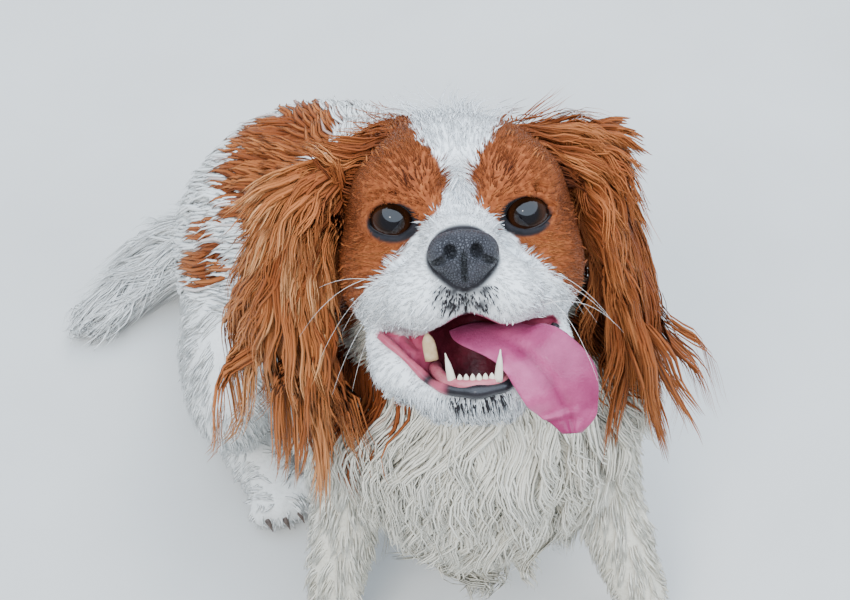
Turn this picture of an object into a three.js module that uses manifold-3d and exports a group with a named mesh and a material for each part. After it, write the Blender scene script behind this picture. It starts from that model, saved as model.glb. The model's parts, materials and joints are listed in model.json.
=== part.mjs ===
// A small long-coated spaniel, life size, sitting with its head raised, its mouth open
// and its tongue hanging over its left lip.
// The body is a set of rounded masses that flow into one another. Each mass is a field,
// negative inside, and the surface is where the joined field is zero. Thin cuts part it.
import * as THREE from 'three';
import { mergeVertices } from 'three/addons/utils/BufferGeometryUtils.js';
import Module from 'manifold-3d';

const wasm = await Module();
wasm.setup();

const V = (x, y, z) => new THREE.Vector3(x, y, z);

// Driving dimensions, in mm and degrees. While it is built, x runs to the dog's left, y to its
// rear and z up from the floor. The point midway between the eyes is over x = 0, y = 0.
const EYE_HEIGHT = 380;
const HEAD_TURN = { yaw: -13.6, pitch: -51, roll: -4 };
const SPINE_YAW = 19;
const NECK_CUT = { at: V(5, 52, 277), height: 44, pitch: 12 };
const CHEST_ENDS = 92;
const RUMP_STARTS = 182;
const ELBOW_HEIGHT = 148;
const HAUNCH_HEIGHT = 140;
const PAW_HEIGHT = 38;
const MOUTH_CORNER = V(2, 14, -50);
const MOUTH_DROP = 28;
const EYE_AT = V(30.5, 10, -1);
const EYE_RADIUS = 12;
const LID_RADIUS = 15;
const JAW_SHIFT = 4;
const GAP = 0.32;
const WELD = 0.05;
const NUDGE = 0.02;

// Locks of the long coat: how deep a root is sunk, and how thick a lock is.
const ROOT_DEPTH = 7;
const LOCK_THICKNESS = 5;

// Grid cells that the surfaces are drawn with.
const FACE_CELL = 6.8;
const SKULL_CELL = 17;
const NOSE_CELL = 4.3;
const BODY_CELL = 30;
const LEG_CELL = 18;
const PAW_CELL = 9.4;
const EAR_CELL = 13;

const FINISHES = {
  white: { color: 0xe9e2d6, roughness: 0.9, metalness: 0 },
  chestnut: { color: 0x9a4a20, roughness: 0.85, metalness: 0 },
  leather: { color: 0x24262b, roughness: 0.45, metalness: 0 },
  eye: { color: 0x1b0f0a, roughness: 0.08, metalness: 0 },
  tongue: { color: 0xcf6f86, roughness: 0.5, metalness: 0 },
};

// Fields. Each takes a point and gives about its distance from a surface, negative inside.
const rad = THREE.MathUtils.degToRad;

function turned({ yaw = 0, pitch = 0, roll = 0 }) {
  return new THREE.Matrix4().makeRotationFromEuler(new THREE.Euler(rad(pitch), rad(roll), rad(yaw), 'ZXY'));
}

function ball(at, size, turn = {}) {
  const back = turned(turn).invert();
  return (p) => {
    const q = p.clone().sub(at).applyMatrix4(back).divide(size);
    const near = q.length() + 1e-6;
    return near * (near - 1) / (q.divide(size).length() + 1e-6);
  };
}

function limb(from, to, fromRadius, toRadius) {
  const along = to.clone().sub(from);
  return (p) => {
    const q = p.clone().sub(from);
    const t = THREE.MathUtils.clamp(q.dot(along) / along.lengthSq(), 0, 1);
    return q.addScaledVector(along, -t).length() - THREE.MathUtils.lerp(fromRadius, toRadius, t);
  };
}

function softMin(a, b, reach) {
  const near = Math.max(reach - Math.abs(a - b), 0) / reach;
  return Math.min(a, b) - near * near * reach / 4;
}

const blend = (reach, ...fields) => (p) => fields.map((f) => f(p)).reduce((a, b) => softMin(a, b, reach));
const carve = (reach, field, cut) => (p) => -softMin(-field(p), cut(p), reach);
const within = (field, limit) => (p) => Math.max(field(p), limit(p));
const mirrored = (field, middle = 0) => (p) => field(V(Math.abs(p.x - middle), p.y, p.z));
const seenFrom = (field, matrix) => (p) => field(p.clone().applyMatrix4(matrix));

// A leaf through round stations, each a place and a half width, thinned across its face.
function leaf(stations, thinness, face) {
  const squashed = (p) => p.clone().addScaledVector(face, p.dot(face) * (1 / thinness - 1));
  const lengths = stations.slice(1).map((station, i) =>
    limb(squashed(stations[i].at), squashed(station.at), stations[i].half, station.half));
  const joined = blend(12, ...lengths);
  return (p) => joined(squashed(p)) * Math.sqrt(thinness);
}

// A turned box: the same cut serves as a field, to draw near, and as a solid, to cut with.
function blockField({ at, size, turn = {} }, grow = 0) {
  const back = turned(turn).invert();
  return (p) => {
    const q = p.clone().sub(at).applyMatrix4(back);
    const past = [Math.abs(q.x) - size.x / 2, Math.abs(q.y) - size.y / 2, Math.abs(q.z) - size.z / 2];
    return Math.max(...past) - grow;
  };
}

function blockSolid({ at, size, turn = {} }, grow = 0) {
  const shape = new THREE.BoxGeometry(size.x + 2 * grow, size.y + 2 * grow, size.z + 2 * grow);
  return toSolid(shape.applyMatrix4(turned(turn)).translate(at.x, at.y, at.z));
}

// Meshes and solids.
function toSolid(geometry) {
  const bare = new THREE.BufferGeometry();
  bare.setAttribute('position', geometry.getAttribute('position').clone());
  bare.setIndex(geometry.index);
  const merged = mergeVertices(bare, 1e-4);
  return new wasm.Manifold(new wasm.Mesh({
    numProp: 3,
    vertProperties: new Float32Array(merged.getAttribute('position').array),
    triVerts: new Uint32Array(merged.index.array),
  }));
}

function toGeometry(solid) {
  const mesh = solid.getMesh();
  const geometry = new THREE.BufferGeometry();
  geometry.setAttribute('position', new THREE.BufferAttribute(new Float32Array(mesh.vertProperties), 3));
  geometry.setIndex(new THREE.BufferAttribute(new Uint32Array(mesh.triVerts), 1));
  geometry.computeVertexNormals();
  return geometry;
}

function largest(solid) {
  return tidied(solid.decompose().reduce((a, b) => (b.volume() > a.volume() ? b : a)));
}

// A solid whose edges shorter than WELD are closed up, and whose sheets that only touch
// are drawn apart, each point into its own side by NUDGE.
function tidied(solid) {
  const mesh = solid.getMesh();
  const points = Array.from({ length: mesh.vertProperties.length / 3 }, (_, i) =>
    V(...mesh.vertProperties.subarray(3 * i, 3 * i + 3)));
  const parent = points.map((_, i) => i);
  const home = (i) => (parent[i] === i ? i : home(parent[i]));
  const corners = Array.from(mesh.triVerts);
  for (let i = 0; i < corners.length; i += 1) {
    const next = i % 3 === 2 ? i - 2 : i + 1;
    if (points[corners[i]].distanceTo(points[corners[next]]) < WELD) {
      parent[home(corners[i])] = home(corners[next]);
    }
  }
  const faces = new Map();
  for (let i = 0; i < corners.length; i += 3) {
    const face = corners.slice(i, i + 3).map(home);
    const key = [...face].sort((a, b) => a - b).join();
    if (new Set(face).size === 3 && !faces.delete(key)) {
      faces.set(key, face);
    }
  }
  const inward = points.map(() => V(0, 0, 0));
  for (const [a, b, c] of faces.values()) {
    const normal = points[b].clone().sub(points[a]).cross(points[c].clone().sub(points[a]));
    [a, b, c].forEach((corner) => inward[corner].sub(normal));
  }
  const used = [...new Set([...faces.values()].flat())];
  const sharers = new Map();
  for (const corner of used) {
    const key = points[corner].toArray().map((value) => value.toFixed(2)).join();
    sharers.set(key, [...(sharers.get(key) ?? []), corner]);
  }
  for (const corner of [...sharers.values()].filter((group) => group.length > 1).flat()) {
    points[corner].addScaledVector(inward[corner].normalize(), NUDGE);
  }
  const numberOf = new Map(used.map((corner, i) => [corner, i]));
  return new wasm.Manifold(new wasm.Mesh({
    numProp: 3,
    vertProperties: new Float32Array(used.flatMap((corner) => points[corner].toArray())),
    triVerts: new Uint32Array([...faces.values()].flat().map((corner) => numberOf.get(corner))),
  }));
}

function moved(solid, matrix) {
  return toSolid(toGeometry(solid).applyMatrix4(matrix));
}

// Grid lines from low to high, with smaller steps from fine.low to fine.high.
function gridLines(low, high, cell, fine = { low: high, high, cell }) {
  const lines = [];
  for (let at = low; at < high; at += at >= fine.low && at < fine.high ? fine.cell : cell) {
    lines.push(at);
  }
  return [...lines, high];
}

function slope(field, p, step = 0.5) {
  const along = (x, y, z) => field(V(p.x + x, p.y + y, p.z + z)) - field(V(p.x - x, p.y - y, p.z - z));
  return V(along(step, 0, 0), along(0, step, 0), along(0, 0, step)).divideScalar(2 * step);
}

function settle(field, p, level = 0) {
  for (let i = 0; i < 4; i += 1) {
    const uphill = slope(field, p);
    p.addScaledVector(uphill, (level - field(p)) / Math.max(uphill.lengthSq(), 0.2));
  }
  return p;
}

// The closed surface where a field is zero: one point in each grid cell that it passes
// through, and a quad round each grid edge that it crosses. A grown copy has its points
// moved out by grow, so that it clears the surface evenly.
function surface(field, grid, grow = 0) {
  const counts = grid.map((lines) => lines.length);
  const keyOf = ([i, j, k]) => (i * counts[1] + j) * counts[2] + k;
  const placeOf = (cell) => V(...cell.map((index, axis) => grid[axis][index]));
  const values = new Float64Array(counts[0] * counts[1] * counts[2]);
  const cells = [];
  for (let i = 0; i < counts[0]; i += 1) {
    for (let j = 0; j < counts[1]; j += 1) {
      for (let k = 0; k < counts[2]; k += 1) {
        values[keyOf([i, j, k])] = field(placeOf([i, j, k]));
        cells.push([i, j, k]);
      }
    }
  }
  const corners = [0, 1].flatMap((i) => [0, 1].flatMap((j) => [0, 1].map((k) => [i, j, k])));
  const plus = (cell, step) => cell.map((index, axis) => index + step[axis]);
  const unit = (axis, length) => [0, 1, 2].map((other) => (other === axis ? length : 0));

  // Where inside and outside corners lie crosswise on the face of a cell, two sheets would
  // share an edge, so the outside corner that is nearer the surface is taken as inside.
  let crosswise = true;
  while (crosswise) {
    crosswise = false;
    for (const cell of cells) {
      for (const axis of [0, 1, 2]) {
        const [one, two] = [unit((axis + 1) % 3, 1), unit((axis + 2) % 3, 1)];
        const face = [cell, plus(cell, one), plus(plus(cell, one), two), plus(cell, two)];
        if (face[2].every((index, at) => index < counts[at])) {
          const keys = face.map(keyOf);
          const inside = keys.map((key) => values[key] < 0);
          if (inside[0] === inside[2] && inside[1] === inside[3] && inside[0] !== inside[1]) {
            const outer = keys.filter((key) => values[key] >= 0);
            const nearer = values[outer[0]] < values[outer[1]] ? outer[0] : outer[1];
            values[nearer] = -1e-3;
            crosswise = true;
          }
        }
      }
    }
  }

  const points = [];
  const numbers = new Map();
  function pointIn(cell) {
    const key = keyOf(cell);
    if (!numbers.has(key)) {
      const crossing = V(0, 0, 0);
      let crossings = 0;
      for (const corner of corners) {
        for (const axis of [0, 1, 2].filter((a) => corner[a] === 0)) {
          const [from, to] = [plus(cell, corner), plus(plus(cell, corner), unit(axis, 1))];
          const [a, b] = [values[keyOf(from)], values[keyOf(to)]];
          if (a < 0 !== b < 0) {
            crossing.add(placeOf(from).lerp(placeOf(to), a / (a - b)));
            crossings += 1;
          }
        }
      }
      numbers.set(key, points.length);
      points.push(settle(field, crossing.divideScalar(crossings), grow));
    }
    return numbers.get(key);
  }

  const triangles = [];
  for (const cell of cells) {
    for (const axis of [0, 1, 2]) {
      const next = plus(cell, unit(axis, 1));
      if (next[axis] < counts[axis]) {
        const [a, b] = [values[keyOf(cell)], values[keyOf(next)]];
        if (a < 0 !== b < 0) {
          const [one, two] = [unit((axis + 1) % 3, -1), unit((axis + 2) % 3, -1)];
          const ring = [plus(plus(cell, one), two), plus(cell, two), cell, plus(cell, one)].map(pointIn);
          const [p, q, r, s] = a < 0 ? ring : ring.reverse();
          const across = points[p].distanceTo(points[r]) < points[q].distanceTo(points[s]);
          triangles.push(...(across ? [p, q, r, p, r, s] : [q, r, s, q, s, p]));
        }
      }
    }
  }
  const geometry = new THREE.BufferGeometry();
  geometry.setAttribute('position', new THREE.Float32BufferAttribute(points.flatMap((p) => p.toArray()), 3));
  geometry.setIndex(triangles);
  return geometry;
}

// A closed body through rings of points that all have the same count, with flat ends.
function loft(rings) {
  const sides = rings[0].length;
  const number = (ring, side) => ring * sides + (side % sides);
  const triangles = [];
  for (let ring = 1; ring < rings.length; ring += 1) {
    for (let side = 0; side < sides; side += 1) {
      const [a, b] = [number(ring - 1, side), number(ring - 1, side + 1)];
      const [c, d] = [number(ring, side), number(ring, side + 1)];
      triangles.push(a, b, c, b, d, c);
    }
  }
  for (let side = 1; side < sides - 1; side += 1) {
    triangles.push(0, side + 1, side);
    const last = rings.length - 1;
    triangles.push(number(last, 0), number(last, side), number(last, side + 1));
  }
  const geometry = new THREE.BufferGeometry();
  const places = rings.flat().flatMap((p) => p.toArray());
  geometry.setAttribute('position', new THREE.Float32BufferAttribute(places, 3));
  geometry.setIndex(triangles);
  return geometry;
}

// The head in its own frame, x left, y back into the skull, z up, midway between the eyes.
const headFrame = new THREE.Matrix4().makeTranslation(0, 0, EYE_HEIGHT).multiply(turned(HEAD_TURN));
const toHead = headFrame.clone().invert();

function eyeOpening() {
  const front = EYE_AT.clone().add(V(1, -11.5, 0));
  return mirrored(ball(front, V(11, 9, 7.4), { yaw: 12 }));
}

// The open mouth: a hollow that widens to the front, and a cut out to each corner of the lips.
function mouthOpening() {
  const frame = new THREE.Matrix4().makeTranslation(MOUTH_CORNER).multiply(turned({ pitch: MOUTH_DROP }));
  frame.scale(V(3, 1, 1)).invert();
  const hollow = seenFrom(limb(V(0, -3, 0), V(0, -48, -3), 5, 13), frame);
  const corners = mirrored(limb(V(8, -8, -61), V(40, 7, -50), 8, 4), MOUTH_CORNER.x);
  return blend(5, hollow, corners);
}

function headForm() {
  const skull = blend(15,
    ball(V(0, 46, 8), V(54, 56, 42)),
    mirrored(ball(V(25, 14, 12), V(21, 19, 17))),
    mirrored(ball(V(35, 34, -24), V(24, 34, 30))));
  const muzzle = blend(9,
    limb(V(0, 8, -4), V(0, -26, -16), 17, 14),
    ball(V(0, -16, -28), V(25, 27, 19)),
    mirrored(ball(V(18, -14, -37), V(19, 23, 16))),
    mirrored(ball(V(33, 6, -37), V(14, 22, 14))));
  const jaw = blend(10,
    limb(V(0, 44, -48), V(JAW_SHIFT, 4, -74), 32, 20),
    ball(V(JAW_SHIFT, -6, -79), V(19, 15, 13)));
  const lids = mirrored(ball(EYE_AT, V(LID_RADIUS, LID_RADIUS, LID_RADIUS)));
  const throat = seenFrom(neckForm(), headFrame);
  const whole = blend(4, blend(14, blend(10, skull, muzzle), jaw, throat), lids);
  const stop = ball(V(0, -12, 14), V(10, 17, 14));
  const philtrum = ball(V(1, -41, -44), V(1.8, 12, 10));
  return [[9, stop], [3, mouthOpening()], [3, philtrum], [1.5, eyeOpening()]]
    .reduce((form, [reach, cut]) => carve(reach, form, cut), whole);
}

function noseForm() {
  const leather = ball(V(1, -36, -19), V(15.5, 11, 12));
  const nostril = mirrored(ball(V(7.5, -47, -18), V(3.2, 5, 2.6)), 1);
  return carve(1.5, leather, nostril);
}

// The body, in the frame of the floor.
function neckForm() {
  return limb(V(2, 52, 318), V(12, 58, 245), 52, 68);
}

function trunkForm() {
  const barrel = blend(40,
    ball(V(14, 62, 212), V(76, 82, 88)),
    ball(V(0, 130, 180), V(80, 85, 88)),
    ball(V(-22, 190, 135), V(86, 88, 88)),
    ball(V(-42, 225, 98), V(92, 84, 101)));
  const bib = ball(V(16, -4, 190), V(66, 44, 92));
  return blend(22, barrel, neckForm(), bib);
}

const FORELEGS = {
  foreleg_right: {
    shoulder: V(-48, 34, 190),
    elbow: V(-50, 30, 145),
    wrist: V(-70, 4, 45),
    paw: V(-74, -14, 17),
  },
  foreleg_left: {
    shoulder: V(76, 20, 190),
    elbow: V(80, 8, 145),
    wrist: V(108, -32, 45),
    paw: V(114, -50, 17),
  },
};
const HINDLEGS = {
  hindleg_right: {
    thigh: V(-100, 172, 84),
    yaw: -14,
    heel: V(-112, 170, 25),
    toe: V(-90, 100, 17),
    outer: -1,
  },
  hindleg_left: {
    thigh: V(54, 194, 84),
    yaw: 24,
    heel: V(76, 186, 25),
    toe: V(100, 112, 17),
    outer: 1,
  },
};
const TAIL = [V(-62, 280, 60), V(-130, 300, 26), V(-186, 270, 14)];

function toesOn(at, forward, spacing, size) {
  const side = V(-forward.y, forward.x, 0);
  return blend(2, ...[-1.5, -0.5, 0.5, 1.5].map((place) => ball(
    at.clone().addScaledVector(side, place * spacing).addScaledVector(forward, -Math.abs(place) * 4), size)));
}

function forelegForm({ shoulder, elbow, wrist, paw }) {
  return blend(12,
    limb(shoulder, elbow, 42, 28),
    limb(elbow, wrist, 27, 18),
    ball(paw, V(20, 26, 18)),
    toesOn(paw.clone().add(V(0, -20, -5)), V(0, -1, 0), 10, V(6.5, 12, 11)));
}

function hindlegForm({ thigh, yaw, heel, toe }) {
  const forward = toe.clone().sub(heel).setZ(0).normalize();
  return blend(14,
    ball(thigh, V(38, 74, 66), { yaw }),
    limb(heel, toe, 24, 19),
    toesOn(toe.clone().addScaledVector(forward, 15), forward, 10, V(8, 8, 12)));
}

function tailForm() {
  return blend(12, limb(TAIL[0], TAIL[1], 22, 17), limb(TAIL[1], TAIL[2], 17, 9));
}

const bodyForm = blend(16, trunkForm(), ...Object.values(FORELEGS).map(forelegForm),
  ...Object.values(HINDLEGS).map(hindlegForm), tailForm(), seenFrom(headForm(), toHead));

// Each ear: a leather flap that hangs from beside the crown. Its locks hang on to the tips.
const EARS = {
  ear_right: {
    stations: [
      { at: V(-42, 60, 380), half: 16 },
      { at: V(-72, 48, 348), half: 28 },
      { at: V(-86, 38, 300), half: 32 },
    ],
    face: V(-0.85, -0.45, 0.2).normalize(),
    fall: V(-0.02, -0.28, -1).normalize(),
    reach: 112,
  },
  ear_left: {
    stations: [
      { at: V(50, 54, 372), half: 17 },
      { at: V(86, 45, 334), half: 27 },
      { at: V(100, 36, 285), half: 29 },
    ],
    face: V(0.9, -0.2, 0.3).normalize(),
    fall: V(0.14, -0.36, -1).normalize(),
    reach: 108,
  },
};
const EAR_THINNESS = 0.36;

// The flap, with the cup of the ear hollowed in its inner face below the root.
function earForm({ stations, face }) {
  const [upper, lower] = stations.slice(1).map((station) => station.at);
  const inner = upper.clone().lerp(lower, 0.1).addScaledVector(face, -13);
  return carve(4, leaf(stations, EAR_THINNESS, face), ball(inner, V(11, 16, 20)));
}

// Locks. Random numbers from 0 to 1 come from a seed, so that every run gives the same coat.
function randomFrom(seed) {
  let state = seed;
  return () => {
    state = (state * 1664525 + 1013904223) % 4294967296;
    return state / 4294967296;
  };
}

// The place where a field's surface is met from inside, going out along a direction.
function rootOn(field, from, direction) {
  const p = from.clone();
  for (let i = 0; i < 40 && field(p) < -0.1; i += 1) {
    p.addScaledVector(direction, Math.max(-field(p) * 0.8, 0.3));
  }
  return p;
}

// A flat tapered lock. It leaves its root along its lie, sags, sways from side to side, and
// is pushed out of whatever it must clear, further towards its tip.
function lockAlong({ root, lie, length, width, sag = 0.5, sway = 0, lift = [1, 5], steps = 3, clear }) {
  const out = slope(clear, root).normalize();
  const side = lie.clone().cross(out).normalize();
  const places = [root.clone().addScaledVector(out, -ROOT_DEPTH).addScaledVector(lie, -0.06 * length)];
  const faces = [out];
  const p = root.clone();
  for (let step = 1; step <= steps; step += 1) {
    const t = step / steps;
    const heading = lie.clone().multiplyScalar(1 - sag * t).add(V(0, 0, -sag * t));
    heading.addScaledVector(side, sway * Math.cos(4.5 * t)).normalize();
    p.addScaledVector(heading, length / steps);
    const uphill = slope(clear, p).normalize();
    p.addScaledVector(uphill, Math.max(0, THREE.MathUtils.lerp(...lift, t) - clear(p)));
    p.z = Math.max(p.z, LOCK_THICKNESS / 2 + 0.8);
    places.push(p.clone());
    faces.push(uphill.lerp(out, 0.3).normalize());
  }
  return { places, faces, width };
}

// The lock as a closed body: four sides, widest a third of the way along, thin at its tip.
function lockSolid({ places, faces, width }, grow = 0) {
  const last = places.length - 1;
  const rings = places.map((place, i) => {
    const t = i / last;
    const ahead = places[Math.min(i + 1, last)].clone().sub(places[Math.max(i - 1, 0)]).normalize();
    const side = ahead.clone().cross(faces[i]).negate().normalize();
    const top = ahead.clone().cross(side);
    const fullness = t < 0.35 ? 0.7 + 0.85 * t : 1 - 0.86 * ((t - 0.35) / 0.65) ** 1.4;
    const half = width * fullness / 2 + grow * 1.5;
    const thick = LOCK_THICKNESS * (1 - 0.7 * t) / 2 + grow * 1.2;
    const middle = place.clone().addScaledVector(ahead, i === last ? grow * 2 : 0);
    return [[half, 0], [0, thick], [-half, 0], [0, -thick]].map(([across, up]) =>
      middle.clone().addScaledVector(side, across).addScaledVector(top, up));
  });
  return toSolid(loft(rings));
}

const joined = (solids) => wasm.Manifold.union(solids);

// Tiers of locks: each row has a count of locks, spread from one side to the other and set
// half a place over from the row above.
function tiers(rows, seed, make) {
  const random = randomFrom(seed);
  const vary = (amount) => 1 + amount * (2 * random() - 1);
  return rows.flatMap((row, r) => Array.from({ length: row.count }, (_, n) => {
    const across = (n + 0.5 + (r % 2 ? 0.22 : -0.22) + 0.2 * (random() - 0.5)) / row.count * 2 - 1;
    return make({ ...row, across, down: r / Math.max(rows.length - 1, 1), vary, random });
  }));
}

function bibLocks() {
  const rows = [[252, 62, 5], [224, 64, 5], [196, 64, 5], [168, 54, 5], [140, 34, 4], [116, 24, 2]]
    .map(([height, spread, count]) => ({ height, spread, count }));
  return tiers(rows, 11, ({ height, spread, across, vary, random }) => {
    const angle = rad(4 + spread * across);
    const outward = V(Math.sin(angle), -Math.cos(angle), 0);
    return lockAlong({
      root: rootOn(bodyForm, V(14, 34, height), outward),
      lie: V(0.3 * Math.sin(angle), -0.16, -0.95).normalize(),
      length: 58 * vary(0.18),
      width: 24 * vary(0.15),
      sag: 0.35,
      sway: 0.5 * (random() < 0.5 ? -1 : 1),
      steps: 4,
      lift: [2, 9],
      clear: bodyForm,
    });
  });
}

function throatLocks() {
  return tiers([{ count: 5 }], 12, ({ across, vary }) => {
    const angle = rad(3 + 66 * across);
    return lockAlong({
      root: rootOn(bodyForm, V(8, 52, 276), V(Math.sin(angle), -Math.cos(angle), 0.1)),
      lie: V(0.35 * Math.sin(angle), -0.1, -0.95).normalize(),
      length: 46 * vary(0.12),
      width: 24,
      lift: [2, 8],
      clear: bodyForm,
    });
  });
}

// Locks over a stretch of the back and flanks, lying towards the tail and down.
function trunkLocks(rows, seed) {
  const turn = turned({ yaw: SPINE_YAW });
  const back = V(0, 1, 0).applyMatrix4(turn);
  return tiers(rows, seed, ({ along, height, spread, length, across, vary }) => {
    const angle = rad(spread * across);
    const outward = V(Math.sin(angle), 0, Math.cos(angle)).applyMatrix4(turn);
    const out = outward.clone().multiplyScalar(0.5);
    return lockAlong({
      root: rootOn(bodyForm, V(2, along, height).applyMatrix4(turn), outward),
      lie: back.clone().multiplyScalar(0.75).add(out).add(V(0, 0, -0.5 - 0.3 * Math.abs(across))).normalize(),
      length: length * vary(0.15),
      width: 34 * vary(0.1),
      lift: [0, 4],
      clear: bodyForm,
    });
  });
}

function forelegLocks({ elbow, wrist }, seed) {
  const rows = [0, 0.3, 0.6, 0.9].map((along) => ({ along, count: 2 }));
  return tiers(rows, seed, ({ along, across, vary }) => lockAlong({
    root: rootOn(bodyForm, elbow.clone().lerp(wrist, along), V(across * 0.9, 1, 0).normalize()),
    lie: V(0.25 * across, 0.5, -0.85).normalize(),
    length: (50 - 14 * along) * vary(0.12),
    width: 19,
    sag: 0.6,
    lift: [2, 16],
    clear: bodyForm,
  }));
}

function hindlegLocks({ thigh, yaw, outer }, seed) {
  const rows = [[30, 3], [5, 3], [-22, 3]].map(([rise, count]) => ({ rise, count }));
  const back = V(0, 1, 0).applyMatrix4(turned({ yaw }));
  return tiers(rows, seed, ({ rise, across, vary }) => {
    const outward = V(outer, 0, 0).applyMatrix4(turned({ yaw })).addScaledVector(back, 0.25 + 0.75 * across);
    return lockAlong({
      root: rootOn(bodyForm, thigh.clone().add(V(0, 0, rise)), outward.normalize()),
      lie: back.clone().multiplyScalar(0.55).add(V(0, 0, -0.8)).normalize(),
      length: 44 * vary(0.15),
      width: 24,
      lift: [1, 5],
      clear: bodyForm,
    });
  });
}

// The plume: locks on every side of the tail but the one it lies on, trailing to its tip.
function tailLocks() {
  const path = new THREE.CatmullRomCurve3(TAIL);
  const rows = [[0.2, 3], [0.45, 3], [0.7, 4], [0.95, 4]].map(([along, count]) => ({ along, count }));
  return tiers(rows, 15, ({ along, across, vary }) => {
    const ahead = path.getTangent(along).setZ(0).normalize();
    const side = V(-ahead.y, ahead.x, 0);
    const outward = side.clone().multiplyScalar(across).add(V(0, 0, 0.9 - 0.7 * Math.abs(across)));
    return lockAlong({
      root: rootOn(bodyForm, path.getPoint(along), outward.normalize()),
      lie: ahead.clone().addScaledVector(side, 0.6 * across).normalize(),
      length: (58 - 26 * along) * vary(0.12),
      width: 23,
      sag: 0.35,
      lift: [1, 5],
      clear: bodyForm,
    });
  });
}

// An ear's locks leave both faces of its flap and fall past its end to the tips.
function earLocks(ear, seed) {
  const { stations, face, fall, reach } = ear;
  const flap = earForm(ear);
  const clear = (p) => Math.min(flap(p), bodyForm(p) - 8);
  const path = new THREE.CatmullRomCurve3(stations.map((station) => station.at));
  const side = fall.clone().cross(face).normalize();
  const rows = [[0.25, 2, 1], [0.5, 3, 1], [0.74, 3, 1], [0.95, 5, 1], [0.8, 2, -1]]
    .map(([along, count, facing]) => ({ along, count, facing }));
  return tiers(rows, seed, ({ along, facing, across, vary, random }) => {
    const half = THREE.MathUtils.lerp(stations[1].half, stations[2].half, along);
    const from = path.getPoint(along).addScaledVector(side, half * 0.8 * across);
    return lockAlong({
      root: rootOn(flap, from, face.clone().multiplyScalar(facing)),
      lie: fall.clone().addScaledVector(side, 0.3 * across).addScaledVector(face, 0.12 * facing).normalize(),
      length: reach * (0.62 + 0.4 * along) * vary(0.1),
      width: 21 * vary(0.12),
      sag: 0.2,
      sway: 0.28 * (random() < 0.5 ? -1 : 1),
      lift: [1, 3 + 3 * random()],
      clear,
    });
  });
}

function allLocks() {
  return {
    ear_right: earLocks(EARS.ear_right, 21),
    ear_left: earLocks(EARS.ear_left, 22),
    tail: tailLocks(),
    foreleg_right: forelegLocks(FORELEGS.foreleg_right, 13),
    foreleg_left: forelegLocks(FORELEGS.foreleg_left, 14),
    hindleg_right: hindlegLocks(HINDLEGS.hindleg_right, 17),
    hindleg_left: hindlegLocks(HINDLEGS.hindleg_left, 18),
    neck: throatLocks(),
    chest: bibLocks(),
    torso: trunkLocks([
      { along: 112, height: 190, spread: 112, length: 52, count: 5 },
      { along: 142, height: 176, spread: 112, length: 50, count: 5 },
    ], 19),
    rump: trunkLocks([
      { along: 188, height: 146, spread: 105, length: 50, count: 5 },
      { along: 216, height: 124, spread: 100, length: 46, count: 5 },
      { along: 240, height: 104, spread: 90, length: 42, count: 4 },
    ], 20),
  };
}

// Where the cuts fall. Each block takes its piece of the body, in this order.
function spineBlock(from, to) {
  const middle = V(0, (from + to) / 2, 250).applyMatrix4(turned({ yaw: SPINE_YAW }));
  return { at: middle, size: V(600, to - from, 500), turn: { yaw: SPINE_YAW } };
}

// A block from below the floor up to a height.
function floorBlock(x, y, height, size, turn = {}) {
  const below = 25;
  return { at: V(x, y, (height - below) / 2), size: V(size.x, size.y, height + below), turn };
}

const ABOVE_NECK = {
  at: V(0, 0, NECK_CUT.height / 2 + 100).applyMatrix4(turned({ pitch: NECK_CUT.pitch })).add(NECK_CUT.at),
  size: V(400, 400, 200),
  turn: { pitch: NECK_CUT.pitch },
};

const CUTS = [
  ['tail', floorBlock(-152, 306, 110, { x: 150, y: 110 }, { yaw: -25 }), LEG_CELL],
  ['forepaw_right', floorBlock(-74, -20, PAW_HEIGHT, { x: 64, y: 76 }), PAW_CELL],
  ['forepaw_left', floorBlock(115, -54, PAW_HEIGHT, { x: 64, y: 76 }), PAW_CELL],
  ['hindpaw_right', floorBlock(-88, 88, PAW_HEIGHT + 6, { x: 66, y: 70 }, { yaw: 12 }), PAW_CELL],
  ['hindpaw_left', floorBlock(103, 98, PAW_HEIGHT + 6, { x: 66, y: 70 }, { yaw: 12 }), PAW_CELL],
  ['foreleg_right', floorBlock(-87, 12, ELBOW_HEIGHT, { x: 120, y: 150 }), LEG_CELL],
  ['foreleg_left', floorBlock(120, -8, ELBOW_HEIGHT, { x: 122, y: 160 }), LEG_CELL],
  ['hindleg_right', floorBlock(-134, 160, HAUNCH_HEIGHT, { x: 120, y: 220 }, { yaw: 8 }), LEG_CELL],
  ['hindleg_left', floorBlock(88, 172, HAUNCH_HEIGHT, { x: 120, y: 200 }, { yaw: 16 }), LEG_CELL],
  ['neck', {
    at: NECK_CUT.at,
    size: V(260, 190, NECK_CUT.height),
    turn: { pitch: NECK_CUT.pitch },
  }, BODY_CELL],
  ['chest', spineBlock(-300, CHEST_ENDS), BODY_CELL],
  ['torso', spineBlock(CHEST_ENDS, RUMP_STARTS), BODY_CELL],
  ['rump', spineBlock(RUMP_STARTS, 500), BODY_CELL],
];

function bodyGrid(box, cell) {
  const half = box.size.length() / 2;
  const ends = (axis, low, high) => gridLines(
    Math.max(low, box.at.getComponent(axis) - half),
    Math.min(high, box.at.getComponent(axis) + half), cell);
  return [ends(0, -230, 190), ends(1, -95, 350), ends(2, -2 * cell, 350)];
}

// A piece of the body, or with grow the room that its neighbours keep clear of.
function bodyPiece([, box, cell], grow = 0) {
  const near = carve(0.01, within(bodyForm, blockField(box, cell * 1.5)), blockField(ABOVE_NECK, -cell));
  const drawn = toSolid(surface(near, bodyGrid(box, cell), grow));
  return drawn.intersect(blockSolid(box, grow)).subtract(blockSolid(ABOVE_NECK, GAP - grow));
}

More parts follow.
